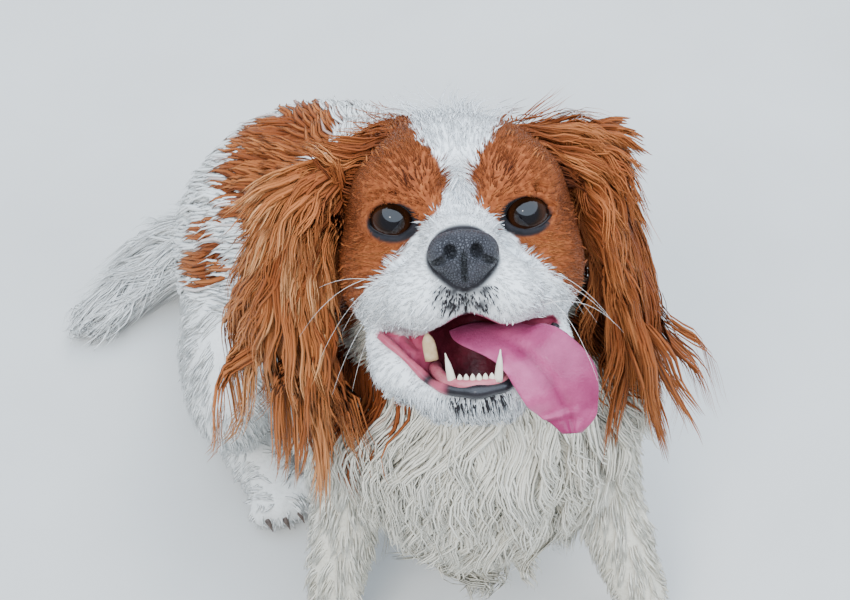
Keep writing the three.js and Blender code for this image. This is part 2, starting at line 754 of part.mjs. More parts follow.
// Each piece of the body before its coat, with its room.
function bodyCores() {
  const cores = {};
  const taken = [];
  for (const cut of CUTS) {
    const [name, box] = cut;
    const trimmed = (solid, gap) =>
      taken.reduce((rest, other) => rest.subtract(blockSolid(other, gap)), solid);
    cores[name] = {
      solid: trimmed(bodyPiece(cut), GAP).subtract(belowFloor()),
      room: trimmed(bodyPiece(cut, GAP), 0),
    };
    taken.push(box);
  }
  return cores;
}

// The cores with their locks fused on. Locks keep clear of every other piece, and of the
// locks of the pieces before it.
function dressed(cores, headRoom) {
  const coats = allLocks();
  const parts = {};
  const lockRooms = [];
  for (const [name, { solid }] of Object.entries(cores)) {
    parts[name] = solid;
    if (coats[name]) {
      const others = Object.entries(cores).filter(([other]) => other !== name).map(([, { room }]) => room);
      const coat = [...others, ...lockRooms, headRoom, belowFloor()]
        .reduce((rest, cut) => rest.subtract(cut), joined(coats[name].map((lock) => lockSolid(lock))));
      parts[name] = solid.add(coat);
      lockRooms.push(joined(coats[name].map((lock) => lockSolid(lock, GAP))));
    }
    parts[name] = largest(parts[name]);
  }
  return parts;
}

function belowFloor() {
  return blockSolid({ at: V(0, 100, -50), size: V(900, 900, 100) });
}

// The head and what it carries, in the head's frame.
function headGrid() {
  const fine = (low, high) => ({ low, high, cell: FACE_CELL });
  return [
    gridLines(-72, 72, SKULL_CELL, fine(-52, 46)),
    gridLines(-54, 140, SKULL_CELL, fine(-60, 16)),
    gridLines(-130, 62, SKULL_CELL, fine(-72, 16)),
  ];
}

function jawBlock() {
  const [length, depth] = [76, 90];
  const offset = V(0, 8 - length / 2, -depth / 2).applyMatrix4(turned({ pitch: MOUTH_DROP }));
  return { at: MOUTH_CORNER.clone().add(offset), size: V(160, length, depth), turn: { pitch: MOUTH_DROP } };
}

// A flat tongue with a groove down its middle. Each station has its place, the direction
// across it, its half width and its thickness.
const TONGUE = [
  { at: V(3, 16, -54), across: V(1, 0, 0), half: 13, thick: 7 },
  { at: V(6, 4, -57), across: V(1, 0, 0.05), half: 14, thick: 8 },
  { at: V(17, -10, -61), across: V(0.85, 0.1, 0.4), half: 15, thick: 8 },
  { at: V(30, -19, -68), across: V(0.75, 0.1, 0.6), half: 17, thick: 7.5 },
  { at: V(40, -20, -80), across: V(0.9, 0.1, 0.42), half: 18, thick: 7 },
  { at: V(43.5, -15, -92), across: V(0.98, 0, 0.15), half: 13.5, thick: 6.5 },
  { at: V(42, -11, -101), across: V(1, 0, 0), half: 6, thick: 5 },
];
const TONGUE_SIDES = 12;

function tongueForm(grow = 0) {
  const path = new THREE.CatmullRomCurve3(TONGUE.map((station) => station.at));
  const rings = TONGUE.map(({ at, across, half, thick }, i) => {
    const ahead = path.getTangent(i / (TONGUE.length - 1));
    const side = across.clone().addScaledVector(ahead, -across.dot(ahead)).normalize();
    const top = ahead.clone().cross(side);
    return Array.from({ length: TONGUE_SIDES }, (_, n) => {
      const angle = 2 * Math.PI * n / TONGUE_SIDES;
      const groove = Math.sin(angle) > 0.8 ? thick * 0.18 : 0;
      return at.clone()
        .addScaledVector(side, (half + grow) * Math.cos(angle))
        .addScaledVector(top, (thick / 2 + grow) * Math.sin(angle) - groove);
    });
  });
  return toSolid(loft(rings));
}

// Lower teeth: two canines and the six incisors between them.
function tooth(base, tip, radius) {
  const axis = tip.clone().sub(base);
  const shape = new THREE.ConeGeometry(radius, axis.length(), 6).translate(0, axis.length() / 2, 0);
  const turn = new THREE.Quaternion().setFromUnitVectors(V(0, 1, 0), axis.clone().normalize());
  return toSolid(shape.applyQuaternion(turn).translate(base.x, base.y, base.z));
}

function lowerTeeth() {
  const canines = [-1, 1].map((side) => tooth(
    V(JAW_SHIFT + 11.5 * side, -13, -72), V(JAW_SHIFT + 13 * side, -18, -60.5), 2.6));
  const incisors = [-2.5, -1.5, -0.5, 0.5, 1.5, 2.5].map((place) => tooth(
    V(JAW_SHIFT + 3 * place, Math.abs(place) - 18, -74),
    V(JAW_SHIFT + 3.1 * place, Math.abs(place) - 20.5, -67.5), 1.9));
  return [...canines, ...incisors];
}

function headSurface(grow = 0) {
  const region = seenFrom(blockField(ABOVE_NECK, FACE_CELL), headFrame);
  return toSolid(surface(within(headForm(), region), headGrid(), grow));
}

function headParts() {
  const plain = headSurface().intersect(moved(blockSolid(ABOVE_NECK), toHead));
  const jawCut = jawBlock();
  const eyeball = (side, radius) => toSolid(new THREE.SphereGeometry(radius, 14, 9)
    .rotateX(Math.PI / 2).translate(side * EYE_AT.x, EYE_AT.y, EYE_AT.z));
  const noseGrid = [[-18, 20], [-52, -20], [-34, -4]].map(([low, high]) => gridLines(low, high, NOSE_CELL));
  const nose = toSolid(surface(noseForm(), noseGrid));
  const noseRoom = toSolid(surface(noseForm(), noseGrid, GAP));
  const tongueRoom = tongueForm(GAP);

  let head = plain.subtract(blockSolid(jawCut, GAP)).subtract(noseRoom).subtract(tongueRoom);
  head = head.subtract(eyeball(-1, EYE_RADIUS + GAP)).subtract(eyeball(1, EYE_RADIUS + GAP));
  const jaw = lowerTeeth().reduce((solid, one) => solid.add(one), plain.intersect(blockSolid(jawCut)));
  return {
    head: largest(head),
    lower_jaw: largest(jaw.subtract(tongueRoom)),
    nose: largest(nose),
    tongue: tongueForm(),
    eye_right: eyeball(-1, EYE_RADIUS),
    eye_left: eyeball(1, EYE_RADIUS),
  };
}

function earCores(clearOf) {
  const cores = {};
  for (const [name, ear] of Object.entries(EARS)) {
    const form = earForm(ear);
    const grid = ['x', 'y', 'z'].map((axis) => {
      const places = ear.stations.map((station) => station.at[axis]);
      return gridLines(Math.min(...places) - 50, Math.max(...places) + 40, EAR_CELL);
    });
    const cutClear = (solid) => clearOf.reduce((rest, cut) => rest.subtract(cut), solid);
    cores[name] = { solid: cutClear(toSolid(surface(form, grid))), room: toSolid(surface(form, grid, GAP)) };
  }
  return cores;
}

const CHESTNUT_NODES = ['ear_right', 'ear_left', 'head'];

function finishOf(name) {
  const bare = { nose: 'leather', tongue: 'tongue', eye_right: 'eye', eye_left: 'eye' };
  const coat = CHESTNUT_NODES.includes(name) ? 'chestnut' : 'white';
  return new THREE.MeshStandardMaterial(FINISHES[bare[name] ?? coat]);
}

function meshesOf(parts) {
  return Object.entries(parts).map(([name, solid]) => {
    const mesh = new THREE.Mesh(toGeometry(solid), finishOf(name));
    mesh.name = name;
    return mesh;
  });
}

const raisedHead = new THREE.Group();
raisedHead.applyMatrix4(headFrame);
raisedHead.add(...meshesOf(headParts()));

const headRoom = moved(headSurface(GAP).add(tongueForm(GAP)), headFrame).intersect(blockSolid(ABOVE_NECK));
const body = bodyCores();
const ears = earCores([headRoom, body.neck.room, body.chest.room]);

const whole = new THREE.Group();
whole.add(raisedHead, ...meshesOf(dressed({ ...ears, ...body }, headRoom)));

// The origin is on the floor under the middle of the whole dog.
whole.updateMatrixWorld(true);
const bounds = new THREE.Box3().setFromObject(whole, true);
const middle = bounds.getCenter(V(0, 0, 0));
whole.position.set(-middle.x, -middle.y, -bounds.min.z);

const group = new THREE.Group();
group.add(whole);
export default group;
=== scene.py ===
import json
import math

import bpy
import numpy as np
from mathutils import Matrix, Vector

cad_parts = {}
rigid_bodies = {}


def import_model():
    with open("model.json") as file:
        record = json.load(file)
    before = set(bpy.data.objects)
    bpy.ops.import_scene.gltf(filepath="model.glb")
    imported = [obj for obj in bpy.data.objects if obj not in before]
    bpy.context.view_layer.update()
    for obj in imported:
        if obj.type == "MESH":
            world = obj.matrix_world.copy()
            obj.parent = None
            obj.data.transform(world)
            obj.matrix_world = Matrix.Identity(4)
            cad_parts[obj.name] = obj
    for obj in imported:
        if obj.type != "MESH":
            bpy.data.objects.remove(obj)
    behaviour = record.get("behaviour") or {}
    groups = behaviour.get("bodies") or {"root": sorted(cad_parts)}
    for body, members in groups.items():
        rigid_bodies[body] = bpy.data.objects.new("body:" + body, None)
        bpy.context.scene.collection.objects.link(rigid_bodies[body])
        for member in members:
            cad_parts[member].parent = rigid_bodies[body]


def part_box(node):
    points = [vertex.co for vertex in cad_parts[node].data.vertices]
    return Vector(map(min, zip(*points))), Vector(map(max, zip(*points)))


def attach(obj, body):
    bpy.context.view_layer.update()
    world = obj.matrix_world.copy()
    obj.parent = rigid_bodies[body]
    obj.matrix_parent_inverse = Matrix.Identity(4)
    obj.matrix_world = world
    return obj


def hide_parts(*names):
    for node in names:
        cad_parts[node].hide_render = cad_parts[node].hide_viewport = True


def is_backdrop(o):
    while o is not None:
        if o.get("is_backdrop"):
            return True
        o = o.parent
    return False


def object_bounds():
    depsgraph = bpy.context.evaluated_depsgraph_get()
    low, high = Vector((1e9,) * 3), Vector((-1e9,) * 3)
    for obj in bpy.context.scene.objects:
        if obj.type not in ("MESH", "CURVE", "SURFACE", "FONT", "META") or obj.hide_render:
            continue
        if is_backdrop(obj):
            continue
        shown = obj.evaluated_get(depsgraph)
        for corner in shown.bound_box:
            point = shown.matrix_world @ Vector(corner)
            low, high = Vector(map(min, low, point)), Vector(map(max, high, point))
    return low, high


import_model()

import openvdb
from mathutils import Matrix, Vector

# The box of the model as it was packed.
cad_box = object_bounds()

# The spaniel's own measures, in millimetres and degrees: x to its left, y to its rear,
# z up from the floor. The point midway between the eyes is over x = 0, y = 0.
EYE_HEIGHT = 380
HEAD_TURN = {"yaw": -13.6, "pitch": -51, "roll": -4}
SPINE_YAW = 19
EYE_AT = (30.5, 10, -1)
EYE_RADIUS = 12
LID_RADIUS = 15
MOUTH_CORNER = (2, 14, -50)
UPPER_LIP = ((-43, -56), (-39.5, -53), (-36, -53), (-26, -55), (-20, -55), (-14, -53), (-8, -49.5),
             (-3, -46.5), (3, -45), (9, -47), (16, -51), (23, -51.5), (30, -50), (41, -49), (46, -55))
LOWER_LIP = ((-39, 7, -54), (-31, 1, -61), (-23, -4, -69), (-17, -9, -75), (-11, -15, -78),
             (-3, -19, -79.5), (4, -20.5, -80), (11, -19.5, -79.5), (18, -16, -78), (24, -9, -73),
             (30, -4, -67), (37, 1, -60), (42, 6, -53))
# How far back the flesh inside the mouth begins, from side to side.
MOUTH_FLOOR = ((-43, 14), (-38, 12), (-30, 8), (-23, 6), (-17, 11), (-12, 19), (-5, 26), (2, 28), (9, 27),
               (16, 23), (24, 19), (44, 14))
JAW_SHIFT = 4
NOSE_TIP = (1, -52, -16)

# How deep the skin lies under the outline of the coat, part by part.
DEPTH = {"head": 1.2, "trunk": 6, "foreleg": 3.5, "hindleg": 4.5, "paw": 1.5, "tail": 5, "ear": 3}

SEED = 7
rng = np.random.default_rng(SEED)


# Points are rows of x, y, z. A field gives about the distance from a surface, negative inside.
def vec(*values):
    return np.array(values, dtype=np.float32)


def length_of(v):
    return np.sqrt((v * v).sum(-1))


def unit(v):
    return v / (length_of(v)[..., None] + 1e-9)


def turned(yaw=0, pitch=0, roll=0):
    """A turn whose columns are the turned x, y and z axes."""
    z, x, y = np.radians([yaw, pitch, roll])
    about_z = np.array([[np.cos(z), -np.sin(z), 0], [np.sin(z), np.cos(z), 0], [0, 0, 1]])
    about_x = np.array([[1, 0, 0], [0, np.cos(x), -np.sin(x)], [0, np.sin(x), np.cos(x)]])
    about_y = np.array([[np.cos(y), 0, np.sin(y)], [0, 1, 0], [-np.sin(y), 0, np.cos(y)]])
    return (about_z @ about_x @ about_y).astype(np.float32)


HEAD_AXES = turned(**HEAD_TURN)
HEAD_AT = vec(0, 0, EYE_HEIGHT)


def to_head(p):
    return (p - HEAD_AT) @ HEAD_AXES


def from_head(q):
    return np.asarray(q, dtype=np.float32) @ HEAD_AXES.T + HEAD_AT


def ball(at, size, turn=None):
    at, size = vec(*at), vec(*size)

    def field(p):
        q = p - at
        if turn is not None:
            q = q @ turn
        q = q / size
        near = length_of(q) + 1e-6
        return near * (near - 1) / (length_of(q / size) + 1e-6)
    return field


def limb(start, end, start_radius, end_radius):
    start, end = vec(*start), vec(*end)
    along = end - start

    def field(p):
        q = p - start
        t = np.clip(q @ along / (along @ along), 0, 1)
        return length_of(q - t[:, None] * along) - (start_radius + (end_radius - start_radius) * t)
    return field


def soft_min(a, b, reach):
    near = np.maximum(reach - np.abs(a - b), 0) / reach
    return np.minimum(a, b) - near * near * reach / 4


def blend(reach, *fields):
    def field(p):
        value = fields[0](p)
        for other in fields[1:]:
            value = soft_min(value, other(p), reach)
        return value
    return field


def carve(reach, form, cut):
    return lambda p: -soft_min(-form(p), cut(p), reach)


def inset(form, depth):
    return lambda p: form(p) + depth


def mirrored(form, middle=0):
    def field(p):
        q = p.copy()
        q[:, 0] = np.abs(q[:, 0] - middle)
        return form(q)
    return field


def on_head(form):
    return lambda p: form(to_head(p))


def leaf(stations, thinness, face):
    """A flap through round stations, thinned across its face."""
    def squashed(p):
        return p + (p @ face)[:, None] * face * (1 / thinness - 1)
    places = [squashed(vec(*at)[None])[0] for at, half in stations]
    halves = [half for at, half in stations]
    joined = blend(12, *[limb(places[i], places[i + 1], halves[i], halves[i + 1])
                         for i in range(len(places) - 1)])
    return lambda p: joined(squashed(p)) * math.sqrt(thinness)


def slope_and_value(field, p, step=0.4):
    """The field and its gradient from four places round each point."""
    corners = vec(1, 1, 1), vec(1, -1, -1), vec(-1, 1, -1), vec(-1, -1, 1)
    values = [field(p + corner * step) for corner in corners]
    gradient = sum(value[:, None] * corner for value, corner in zip(values, corners)) / (4 * step)
    return gradient, sum(values) / 4


def settle(field, p, rounds=4):
    """Points brought on to the surface of a field."""
    for _ in range(rounds):
        gradient, value = slope_and_value(field, p)
        steepness = np.maximum((gradient * gradient).sum(1), 0.2)
        p = p + gradient * (-value / steepness)[:, None]
    return p


# The forms, as the solids have them, with the skin set in under the coat.
def head_form(depth):
    skull = blend(15,
                  ball((0, 46, 8), (54, 56, 42)),
                  mirrored(ball((25, 14, 12), (21, 19, 17))),
                  mirrored(ball((35, 34, -24), (24, 34, 30))))
    muzzle = blend(9,
                   limb((0, 8, -4), (0, -26, -16), 17, 14),
                   ball((0, -16, -28), (25, 27, 19)),
                   mirrored(ball((18, -14, -37), (19, 23, 16))),
                   mirrored(ball((33, 6, -37), (14, 22, 14))))
    jaw = blend(10,
                limb((0, 44, -48), (JAW_SHIFT, 4, -74), 32, 20),
                ball((JAW_SHIFT, -6, -79), (19, 15, 13)),
                mirrored(limb((15, -1, -83.5), (34, 10, -70), 9.5, 10), MOUTH_CORNER[0]),
                mirrored(limb((34, 10, -70), (40, 19, -60), 10, 9), MOUTH_CORNER[0]))
    throat = lambda q: neck_form()(from_head(q))
    lids = mirrored(ball(EYE_AT, (LID_RADIUS,) * 3))
    whole = inset(blend(14, blend(10, skull, muzzle), jaw, throat), depth)
    whole = blend(4, whole, lids)
    stop = ball((0, -12, 14), (10, 17, 14))
    philtrum = ball((1, -41, -44), (1.8, 12, 10))
    socket = mirrored(ball(EYE_AT, (EYE_RADIUS - 0.4,) * 3))
    fold = mirrored(limb((20, -3.5, 10.5), (40, -0.5, 10.5), 1.6, 1.6))
    tear_line = mirrored(limb((19.5, -4, -10), (30, -5, -18), 1.6, 1.2))
    cuts = ((9, stop), (1.8, mouth_opening()), (3, philtrum), (2.5, fold), (2.5, tear_line),
            (1.5, eye_opening()), (0.5, socket))
    for reach, cut in cuts:
        whole = carve(reach, whole, cut)
    return whole


def eye_opening(margin=0.0):
    at = (EYE_AT[0] + 1, EYE_AT[1] - 11.5, EYE_AT[2])
    return mirrored(ball(at, (11 + margin, 9 + margin, 7.4 + margin), turned(yaw=12)))


def lid_skin(q):
    """The bare dark skin round the eye, widest below it and at the inner corner."""
    m = np.abs(q[:, :1]) * vec(1, 0, 0) + q * vec(0, 1, 1)
    return eye_opening(1.7)(m + vec(1.5, 0, 1.5))


def height_at(q, line):
    """The height of a lip line above or below each point."""
    return np.interp(q[:, 0], [place[0] for place in line], [place[-1] for place in line])


def between_lips(q):
    """Less than 0 between the lines of the two lips."""
    above, below = q[:, 2] - height_at(q, UPPER_LIP), height_at(q, LOWER_LIP) + 1 - q[:, 2]
    return np.maximum(above, below) * 0.8


def mouth_opening():
    """Between the two lips, deep in the middle and shallow at the corners."""
    def flesh_behind(q):
        return (height_at(q, MOUTH_FLOOR) - q[:, 1]) * 0.8
    return carve(2.5, between_lips, flesh_behind)


def neck_form():
    return limb((2, 52, 318), (12, 58, 245), 52, 68)


def trunk_form():
    barrel = blend(40,
                   ball((14, 62, 212), (76, 82, 88)),
                   ball((0, 130, 180), (80, 85, 88)),
                   ball((-22, 190, 135), (86, 88, 88)),
                   ball((-42, 225, 98), (92, 84, 101)))
    return blend(22, barrel, neck_form(), ball((16, -4, 190), (66, 44, 92)))


FORELEGS = {
    "right": {"shoulder": (-48, 34, 190), "elbow": (-50, 30, 145),
              "wrist": (-70, 4, 45), "paw": (-74, -14, 17)},
    "left": {"shoulder": (76, 20, 190), "elbow": (80, 8, 145),
             "wrist": (108, -32, 45), "paw": (114, -50, 17)},
}
HINDLEGS = {
    "right": {"thigh": (-100, 172, 84), "yaw": -14, "heel": (-112, 170, 25), "toe": (-90, 100, 17)},
    "left": {"thigh": (54, 194, 84), "yaw": 24, "heel": (76, 186, 25), "toe": (100, 112, 17)},
}
TAIL = ((-62, 280, 60), (-130, 300, 26), (-186, 270, 14))
TOE_PLACES = (-1.5, -0.5, 0.5, 1.5)


def toe_centres(at, forward, spacing=10):
    side = vec(-forward[1], forward[0], 0)
    return [vec(*at) + side * place * spacing - forward * abs(place) * 4 for place in TOE_PLACES]


def foreleg_toes(leg):
    return toe_centres(vec(*leg["paw"]) + vec(0, -20, -5), vec(0, -1, 0))


def hindleg_toes(leg):
    forward = unit((vec(*leg["toe"]) - vec(*leg["heel"])) * vec(1, 1, 0))
    return toe_centres(vec(*leg["toe"]) + forward * 15, forward), forward


def foreleg_form(leg):
    toes = blend(2, *[ball(at, (6.5, 12, 11)) for at in foreleg_toes(leg)])
    return blend(12,
                 inset(limb(leg["shoulder"], leg["elbow"], 42, 28), DEPTH["foreleg"]),
                 inset(limb(leg["elbow"], leg["wrist"], 27, 18), DEPTH["foreleg"]),
                 inset(ball(leg["paw"], (20, 26, 18)), DEPTH["paw"] + 1.5),
                 inset(toes, DEPTH["paw"]))


def hindleg_form(leg):
    toes = blend(2, *[ball(at, (8, 8, 12)) for at in hindleg_toes(leg)[0]])
    return blend(14,
                 inset(ball(leg["thigh"], (38, 74, 66), turned(yaw=leg["yaw"])), DEPTH["hindleg"]),
                 inset(limb(leg["heel"], leg["toe"], 24, 19), DEPTH["foreleg"]),
                 inset(toes, DEPTH["paw"]))


def tail_form():
    form = blend(12, limb(TAIL[0], TAIL[1], 22, 17), limb(TAIL[1], TAIL[2], 17, 9))
    return inset(form, DEPTH["tail"])


EARS = {
    "right": {
        "stations": (((-37, 64, 364), 8), ((-61, 51, 341), 21), ((-78, 38, 298), 31)),
        "face": unit(vec(-0.85, -0.45, 0.2)),
        "fall": unit(vec(-0.16, -0.26, -1)),
        "reach": 124,
    },
    "left": {
        "stations": (((46, 60, 361), 9), ((81, 46, 331), 31), ((94, 35, 285), 36)),
        "face": unit(vec(0.9, -0.2, 0.3)),
        "fall": unit(vec(0.04, -0.36, -1)),
        "reach": 114,
    },
}
EAR_THINNESS = 0.36


def ear_form(ear):
    return inset(leaf(ear["stations"], EAR_THINNESS, ear["face"]), DEPTH["ear"])


FORMS = {
    "head": on_head(head_form(DEPTH["head"])),
    "trunk": inset(trunk_form(), DEPTH["trunk"]),
    "foreleg_right": foreleg_form(FORELEGS["right"]),
    "foreleg_left": foreleg_form(FORELEGS["left"]),
    "hindleg_right": hindleg_form(HINDLEGS["right"]),
    "hindleg_left": hindleg_form(HINDLEGS["left"]),
    "tail": tail_form(),
    "ear_right": ear_form(EARS["right"]),
    "ear_left": ear_form(EARS["left"]),
}
FORM_NAMES = list(FORMS)
FLOOR_LEVEL = 0.4


def skin_form(p):
    body = blend(14, *[FORMS[name] for name in FORM_NAMES[:7]])(p)
    ears = np.minimum(FORMS["ear_right"](p), FORMS["ear_left"](p))
    return np.maximum(soft_min(body, ears, 5), FLOOR_LEVEL - p[:, 2])


def nearest_form(p):
    """Which form each point belongs to, by number."""
    return np.argmin(np.stack([FORMS[name](p) for name in FORM_NAMES]), axis=0)


# From the spaniel's own millimetres to the frame's metres: the eyes give the way.
def eye_centre(side):
    return np.mean([list(corner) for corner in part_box("eye_" + side)], axis=0) * 1000


OWN_EYES = [from_head([side * EYE_AT[0], EYE_AT[1], EYE_AT[2]]) for side in (1, -1)]
SHIFT = (eye_centre("left") + eye_centre("right") - OWN_EYES[0] - OWN_EYES[1]) / 2


def placed(p):
    return (np.asarray(p, dtype=np.float64) + SHIFT) / 1000


# Meshes.
def piece_of(name, points, faces, finish):
    """A smooth piece from points in millimetres and rows of face corners."""
    faces = np.asarray(faces, dtype=np.int32)
    corners = faces.shape[1]
    mesh = bpy.data.meshes.new(name)
    mesh.vertices.add(len(points))
    mesh.vertices.foreach_set("co", placed(points).astype(np.float32).ravel())
    mesh.loops.add(faces.size)
    mesh.loops.foreach_set("vertex_index", faces.ravel())
    mesh.polygons.add(len(faces))
    mesh.polygons.foreach_set("loop_start", np.arange(0, faces.size, corners, dtype=np.int32))
    mesh.polygons.foreach_set("use_smooth", np.ones(len(faces), dtype=bool))
    mesh.update(calc_edges=True)
    mesh.validate()
    piece = bpy.data.objects.new(name, mesh)
    bpy.context.scene.collection.objects.link(piece)
    mesh.materials.append(finish)
    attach(piece, "root")
    return piece


def store(piece, **numbers):
    """Keep one number of each name for each point, for the finish to read."""
    for name, values in numbers.items():
        attribute = piece.data.attributes.new(name, "FLOAT", "POINT")
        attribute.data.foreach_set("value", np.asarray(values, dtype=np.float32))


def values_of(items, name, size, kind=np.float32):
    """The values of one name of a mesh's items, in rows of a size."""
    values = np.empty(len(items) * size, dtype=kind)
    items.foreach_get(name, values)
    return values.reshape(-1, size)


def own_points(piece):
    return (values_of(piece.data.vertices, "co", 3) * 1000 - SHIFT).astype(np.float32)


def deselect_all():
    for other in bpy.context.view_layer.objects:
        other.select_set(False)


def select_only(*pieces):
    """Select these pieces and no others, with the first as the active one."""
    deselect_all()
    for piece in pieces:
        piece.select_set(True)
    bpy.context.view_layer.objects.active = pieces[0]


def in_edit_mode(piece, work):
    select_only(piece)
    bpy.ops.object.mode_set(mode="EDIT")
    work()
    bpy.ops.object.mode_set(mode="OBJECT")
    piece.select_set(False)


def lattice(low, high, cell):
    axes = [np.arange(low[i], high[i] + cell, cell, dtype=np.float32) for i in range(3)]
    return np.stack(np.meshgrid(*axes, indexing="ij"), axis=-1)


def skinned(field, low, high, cell, coarse=3):
    """The surface of a field as points and four-cornered faces, drawn near the surface only."""
    grid = lattice(low, high, cell)
    shape = grid.shape[:3]
    sparse = grid[::coarse, ::coarse, ::coarse]
    rough = field(sparse.reshape(-1, 3)).reshape(sparse.shape[:3])
    for axis in range(3):
        rough = np.repeat(rough, coarse, axis=axis)
    values = rough[:shape[0], :shape[1], :shape[2]].astype(np.float32)
    near = np.abs(values) < coarse * cell * 2.2
    values[near] = field(grid[near])
    volume = openvdb.FloatGrid(background=float(cell * 9))
    volume.copyFromArray(values)
    points, faces = volume.convertToQuads(isovalue=0.0)
    points = np.asarray(points, dtype=np.float32) * cell + vec(*low)
    return settle(field, points), np.asarray(faces, dtype=np.int32)[:, ::-1]


def facing_out(points, faces):
    """The faces turned so that the shape's volume is positive."""
    a, b, c = (points[faces[:, i]].astype(np.float64) for i in range(3))
    volume = (np.cross(a, b) * c).sum()
    return faces if volume > 0 else faces[:, ::-1]


def smooth_curve(places, count):
    """Points spread along a smooth curve through places."""
    places = np.asarray(places, dtype=np.float64)
    padded = np.concatenate([[2 * places[0] - places[1]], places, [2 * places[-1] - places[-2]]])
    at = np.linspace(0, len(places) - 1, count)
    i = np.minimum(at.astype(int), len(places) - 2)
    t = (at - i).reshape((-1,) + (1,) * (places.ndim - 1))
    a, b, c, d = padded[i], padded[i + 1], padded[i + 2], padded[i + 3]
    return 0.5 * (2 * b + (c - a) * t + (2 * a - 5 * b + 4 * c - d) * t ** 2
                  + (3 * b - a - 3 * c + d) * t ** 3)


def tube(centres, across, up, closed=False):
    """Rings of points round centres: across and up are each ring's two half axes."""
    count, sides = len(centres), across.shape[1]
    ring = np.arange(count)[:, None] * sides + np.arange(sides)
    rings = np.vstack([ring, ring[:1]]) if closed else ring
    a, b = rings[:-1], rings[1:]
    faces = np.stack([a, np.roll(a, -1, 1), np.roll(b, -1, 1), b], axis=-1).reshape(-1, 4)
    points = (centres[:, None] + across + up).reshape(-1, 3)
    if not closed:
        ends = np.vstack([centres[:1], centres[-1:]])
        first, last = len(points), len(points) + 1
        points = np.vstack([points, ends])
        low = np.stack([np.roll(ring[0], -1), ring[0], np.full(sides, first), np.full(sides, first)], -1)
        high = np.stack([ring[-1], np.roll(ring[-1], -1), np.full(sides, last), np.full(sides, last)], -1)
        faces = np.vstack([faces, low, high])
    return points, faces


def triangles_of(faces):
    """Four-cornered faces as triangles, without those that have no width."""
    both = np.vstack([faces[:, [0, 1, 2]], faces[:, [0, 2, 3]]])
    ok = (both[:, 0] != both[:, 1]) & (both[:, 1] != both[:, 2]) & (both[:, 0] != both[:, 2])
    return both[ok]


def frames_along(centres, up_hint, closed):
    """For each centre the way across and the way up."""
    if closed:
        ahead = unit(np.roll(centres, -1, 0) - np.roll(centres, 1, 0))
    else:
        ahead = unit(np.gradient(centres, axis=0))
    across = unit(np.cross(ahead, up_hint))
    return across, np.cross(across, ahead)


def cord(centres, radii, up_hint, sides, flatness=1.0, closed=False):
    """A round or flattened cord through centres."""
    centres = np.asarray(centres, dtype=np.float64)
    radii = np.broadcast_to(radii, len(centres))
    up_hint = np.broadcast_to(up_hint, centres.shape)
    across, up = frames_along(centres, up_hint, closed)
    angle = np.arange(sides) * 2 * np.pi / sides
    wide = across[:, None] * (radii[:, None] * np.cos(angle))[..., None]
    high = up[:, None] * (radii[:, None] * flatness * np.sin(angle))[..., None]
    points, faces = tube(centres, wide, high, closed)
    return points, facing_out(points, triangles_of(faces))


def head_piece(name, local, faces, finish):
    """A piece from points in the head's frame, its faces outwards."""
    points = from_head(local)
    return piece_of(name, points, facing_out(points, faces), finish)


# Finishes.
class Paint:
    """The nodes of one finish or effect, linked as they are made."""

    def __init__(self, tree):
        self.nodes, self.links = tree.nodes, tree.links

    def feed(self, socket, value):
        """Link a socket, or set its own value."""
        if isinstance(value, bpy.types.NodeSocket):
            self.links.new(value, socket)
        elif isinstance(value, (int, float)):
            socket.default_value = value
        else:
            socket.default_value = (*value, 1)

    def node(self, kind, **given):
        """A new node, its inputs set or linked by name."""
        node = self.nodes.new("ShaderNode" + kind)
        for label, value in given.items():
            self.feed(node.inputs[label], value)
        return node

    def effect(self, effect, **given):
        """An effect in use, its inputs set or linked by name."""
        node = self.nodes.new("ShaderNodeGroup")
        node.node_tree = effect
        for label, value in given.items():
            self.feed(node.inputs[label], value)
        return node.outputs

    def noise(self, scale, detail=3.0, roughness=0.55):
        return self.effect(OWN_NOISE, Scale=scale, Detail=detail, Roughness=roughness)["Value"]

    def clouds(self, low, high, scale):
        return self.effect(CLOUDED_TONES, Low=low, High=high, Scale=scale)

    def ramp(self, source, stops):
        node = self.node("ValToRGB")
        while len(node.color_ramp.elements) < len(stops):
            node.color_ramp.elements.new(0.5)
        for element, (at, colour) in zip(node.color_ramp.elements, stops):
            element.position = at
            element.color = (*colour, 1)
        self.feed(node.inputs["Fac"], source)
        return node.outputs["Color"]

    def number(self, name):
        """A number that is stored on the piece."""
        node = self.node("Attribute")
        node.attribute_name = name
        return node.outputs["Fac"]

    def mix(self, share, first, second):
        node = self.node("Mix")
        node.data_type = "RGBA"
        for number, value in ((0, share), (6, first), (7, second)):
            self.feed(node.inputs[number], value)
        return node.outputs[2]

    def math(self, operation, *values):
        node = self.node("Math")
        node.operation = operation
        for socket, value in zip(node.inputs, values):
            self.feed(socket, value)
        return node.outputs[0]

    def times(self, value, factor, more=0.0):
        """A value times a factor, and more on top."""
        return self.math("MULTIPLY_ADD", value, factor, more)

    def surface(self, colour, roughness, specular=0.5, coat=0.0, coat_roughness=0.03, bump=None):
        """The shader's colour, its shine, and its relief from a height, a depth and a strength."""
        shader = self.nodes["Principled BSDF"]
        values = {"Base Color": colour, "Roughness": roughness, "Specular IOR Level": specular,
                  "Coat Weight": coat, "Coat Roughness": coat_roughness}
        if bump:
            height, depth, strength = bump
            relief = self.node("Bump", Height=height, Distance=depth, Strength=strength)
            values["Normal"] = relief.outputs["Normal"]
        for label, value in values.items():
            self.feed(shader.inputs[label], value)


def new_finish(name):
    finish = bpy.data.materials.new(name)
    finish.use_nodes = True
    return finish, Paint(finish.node_tree)


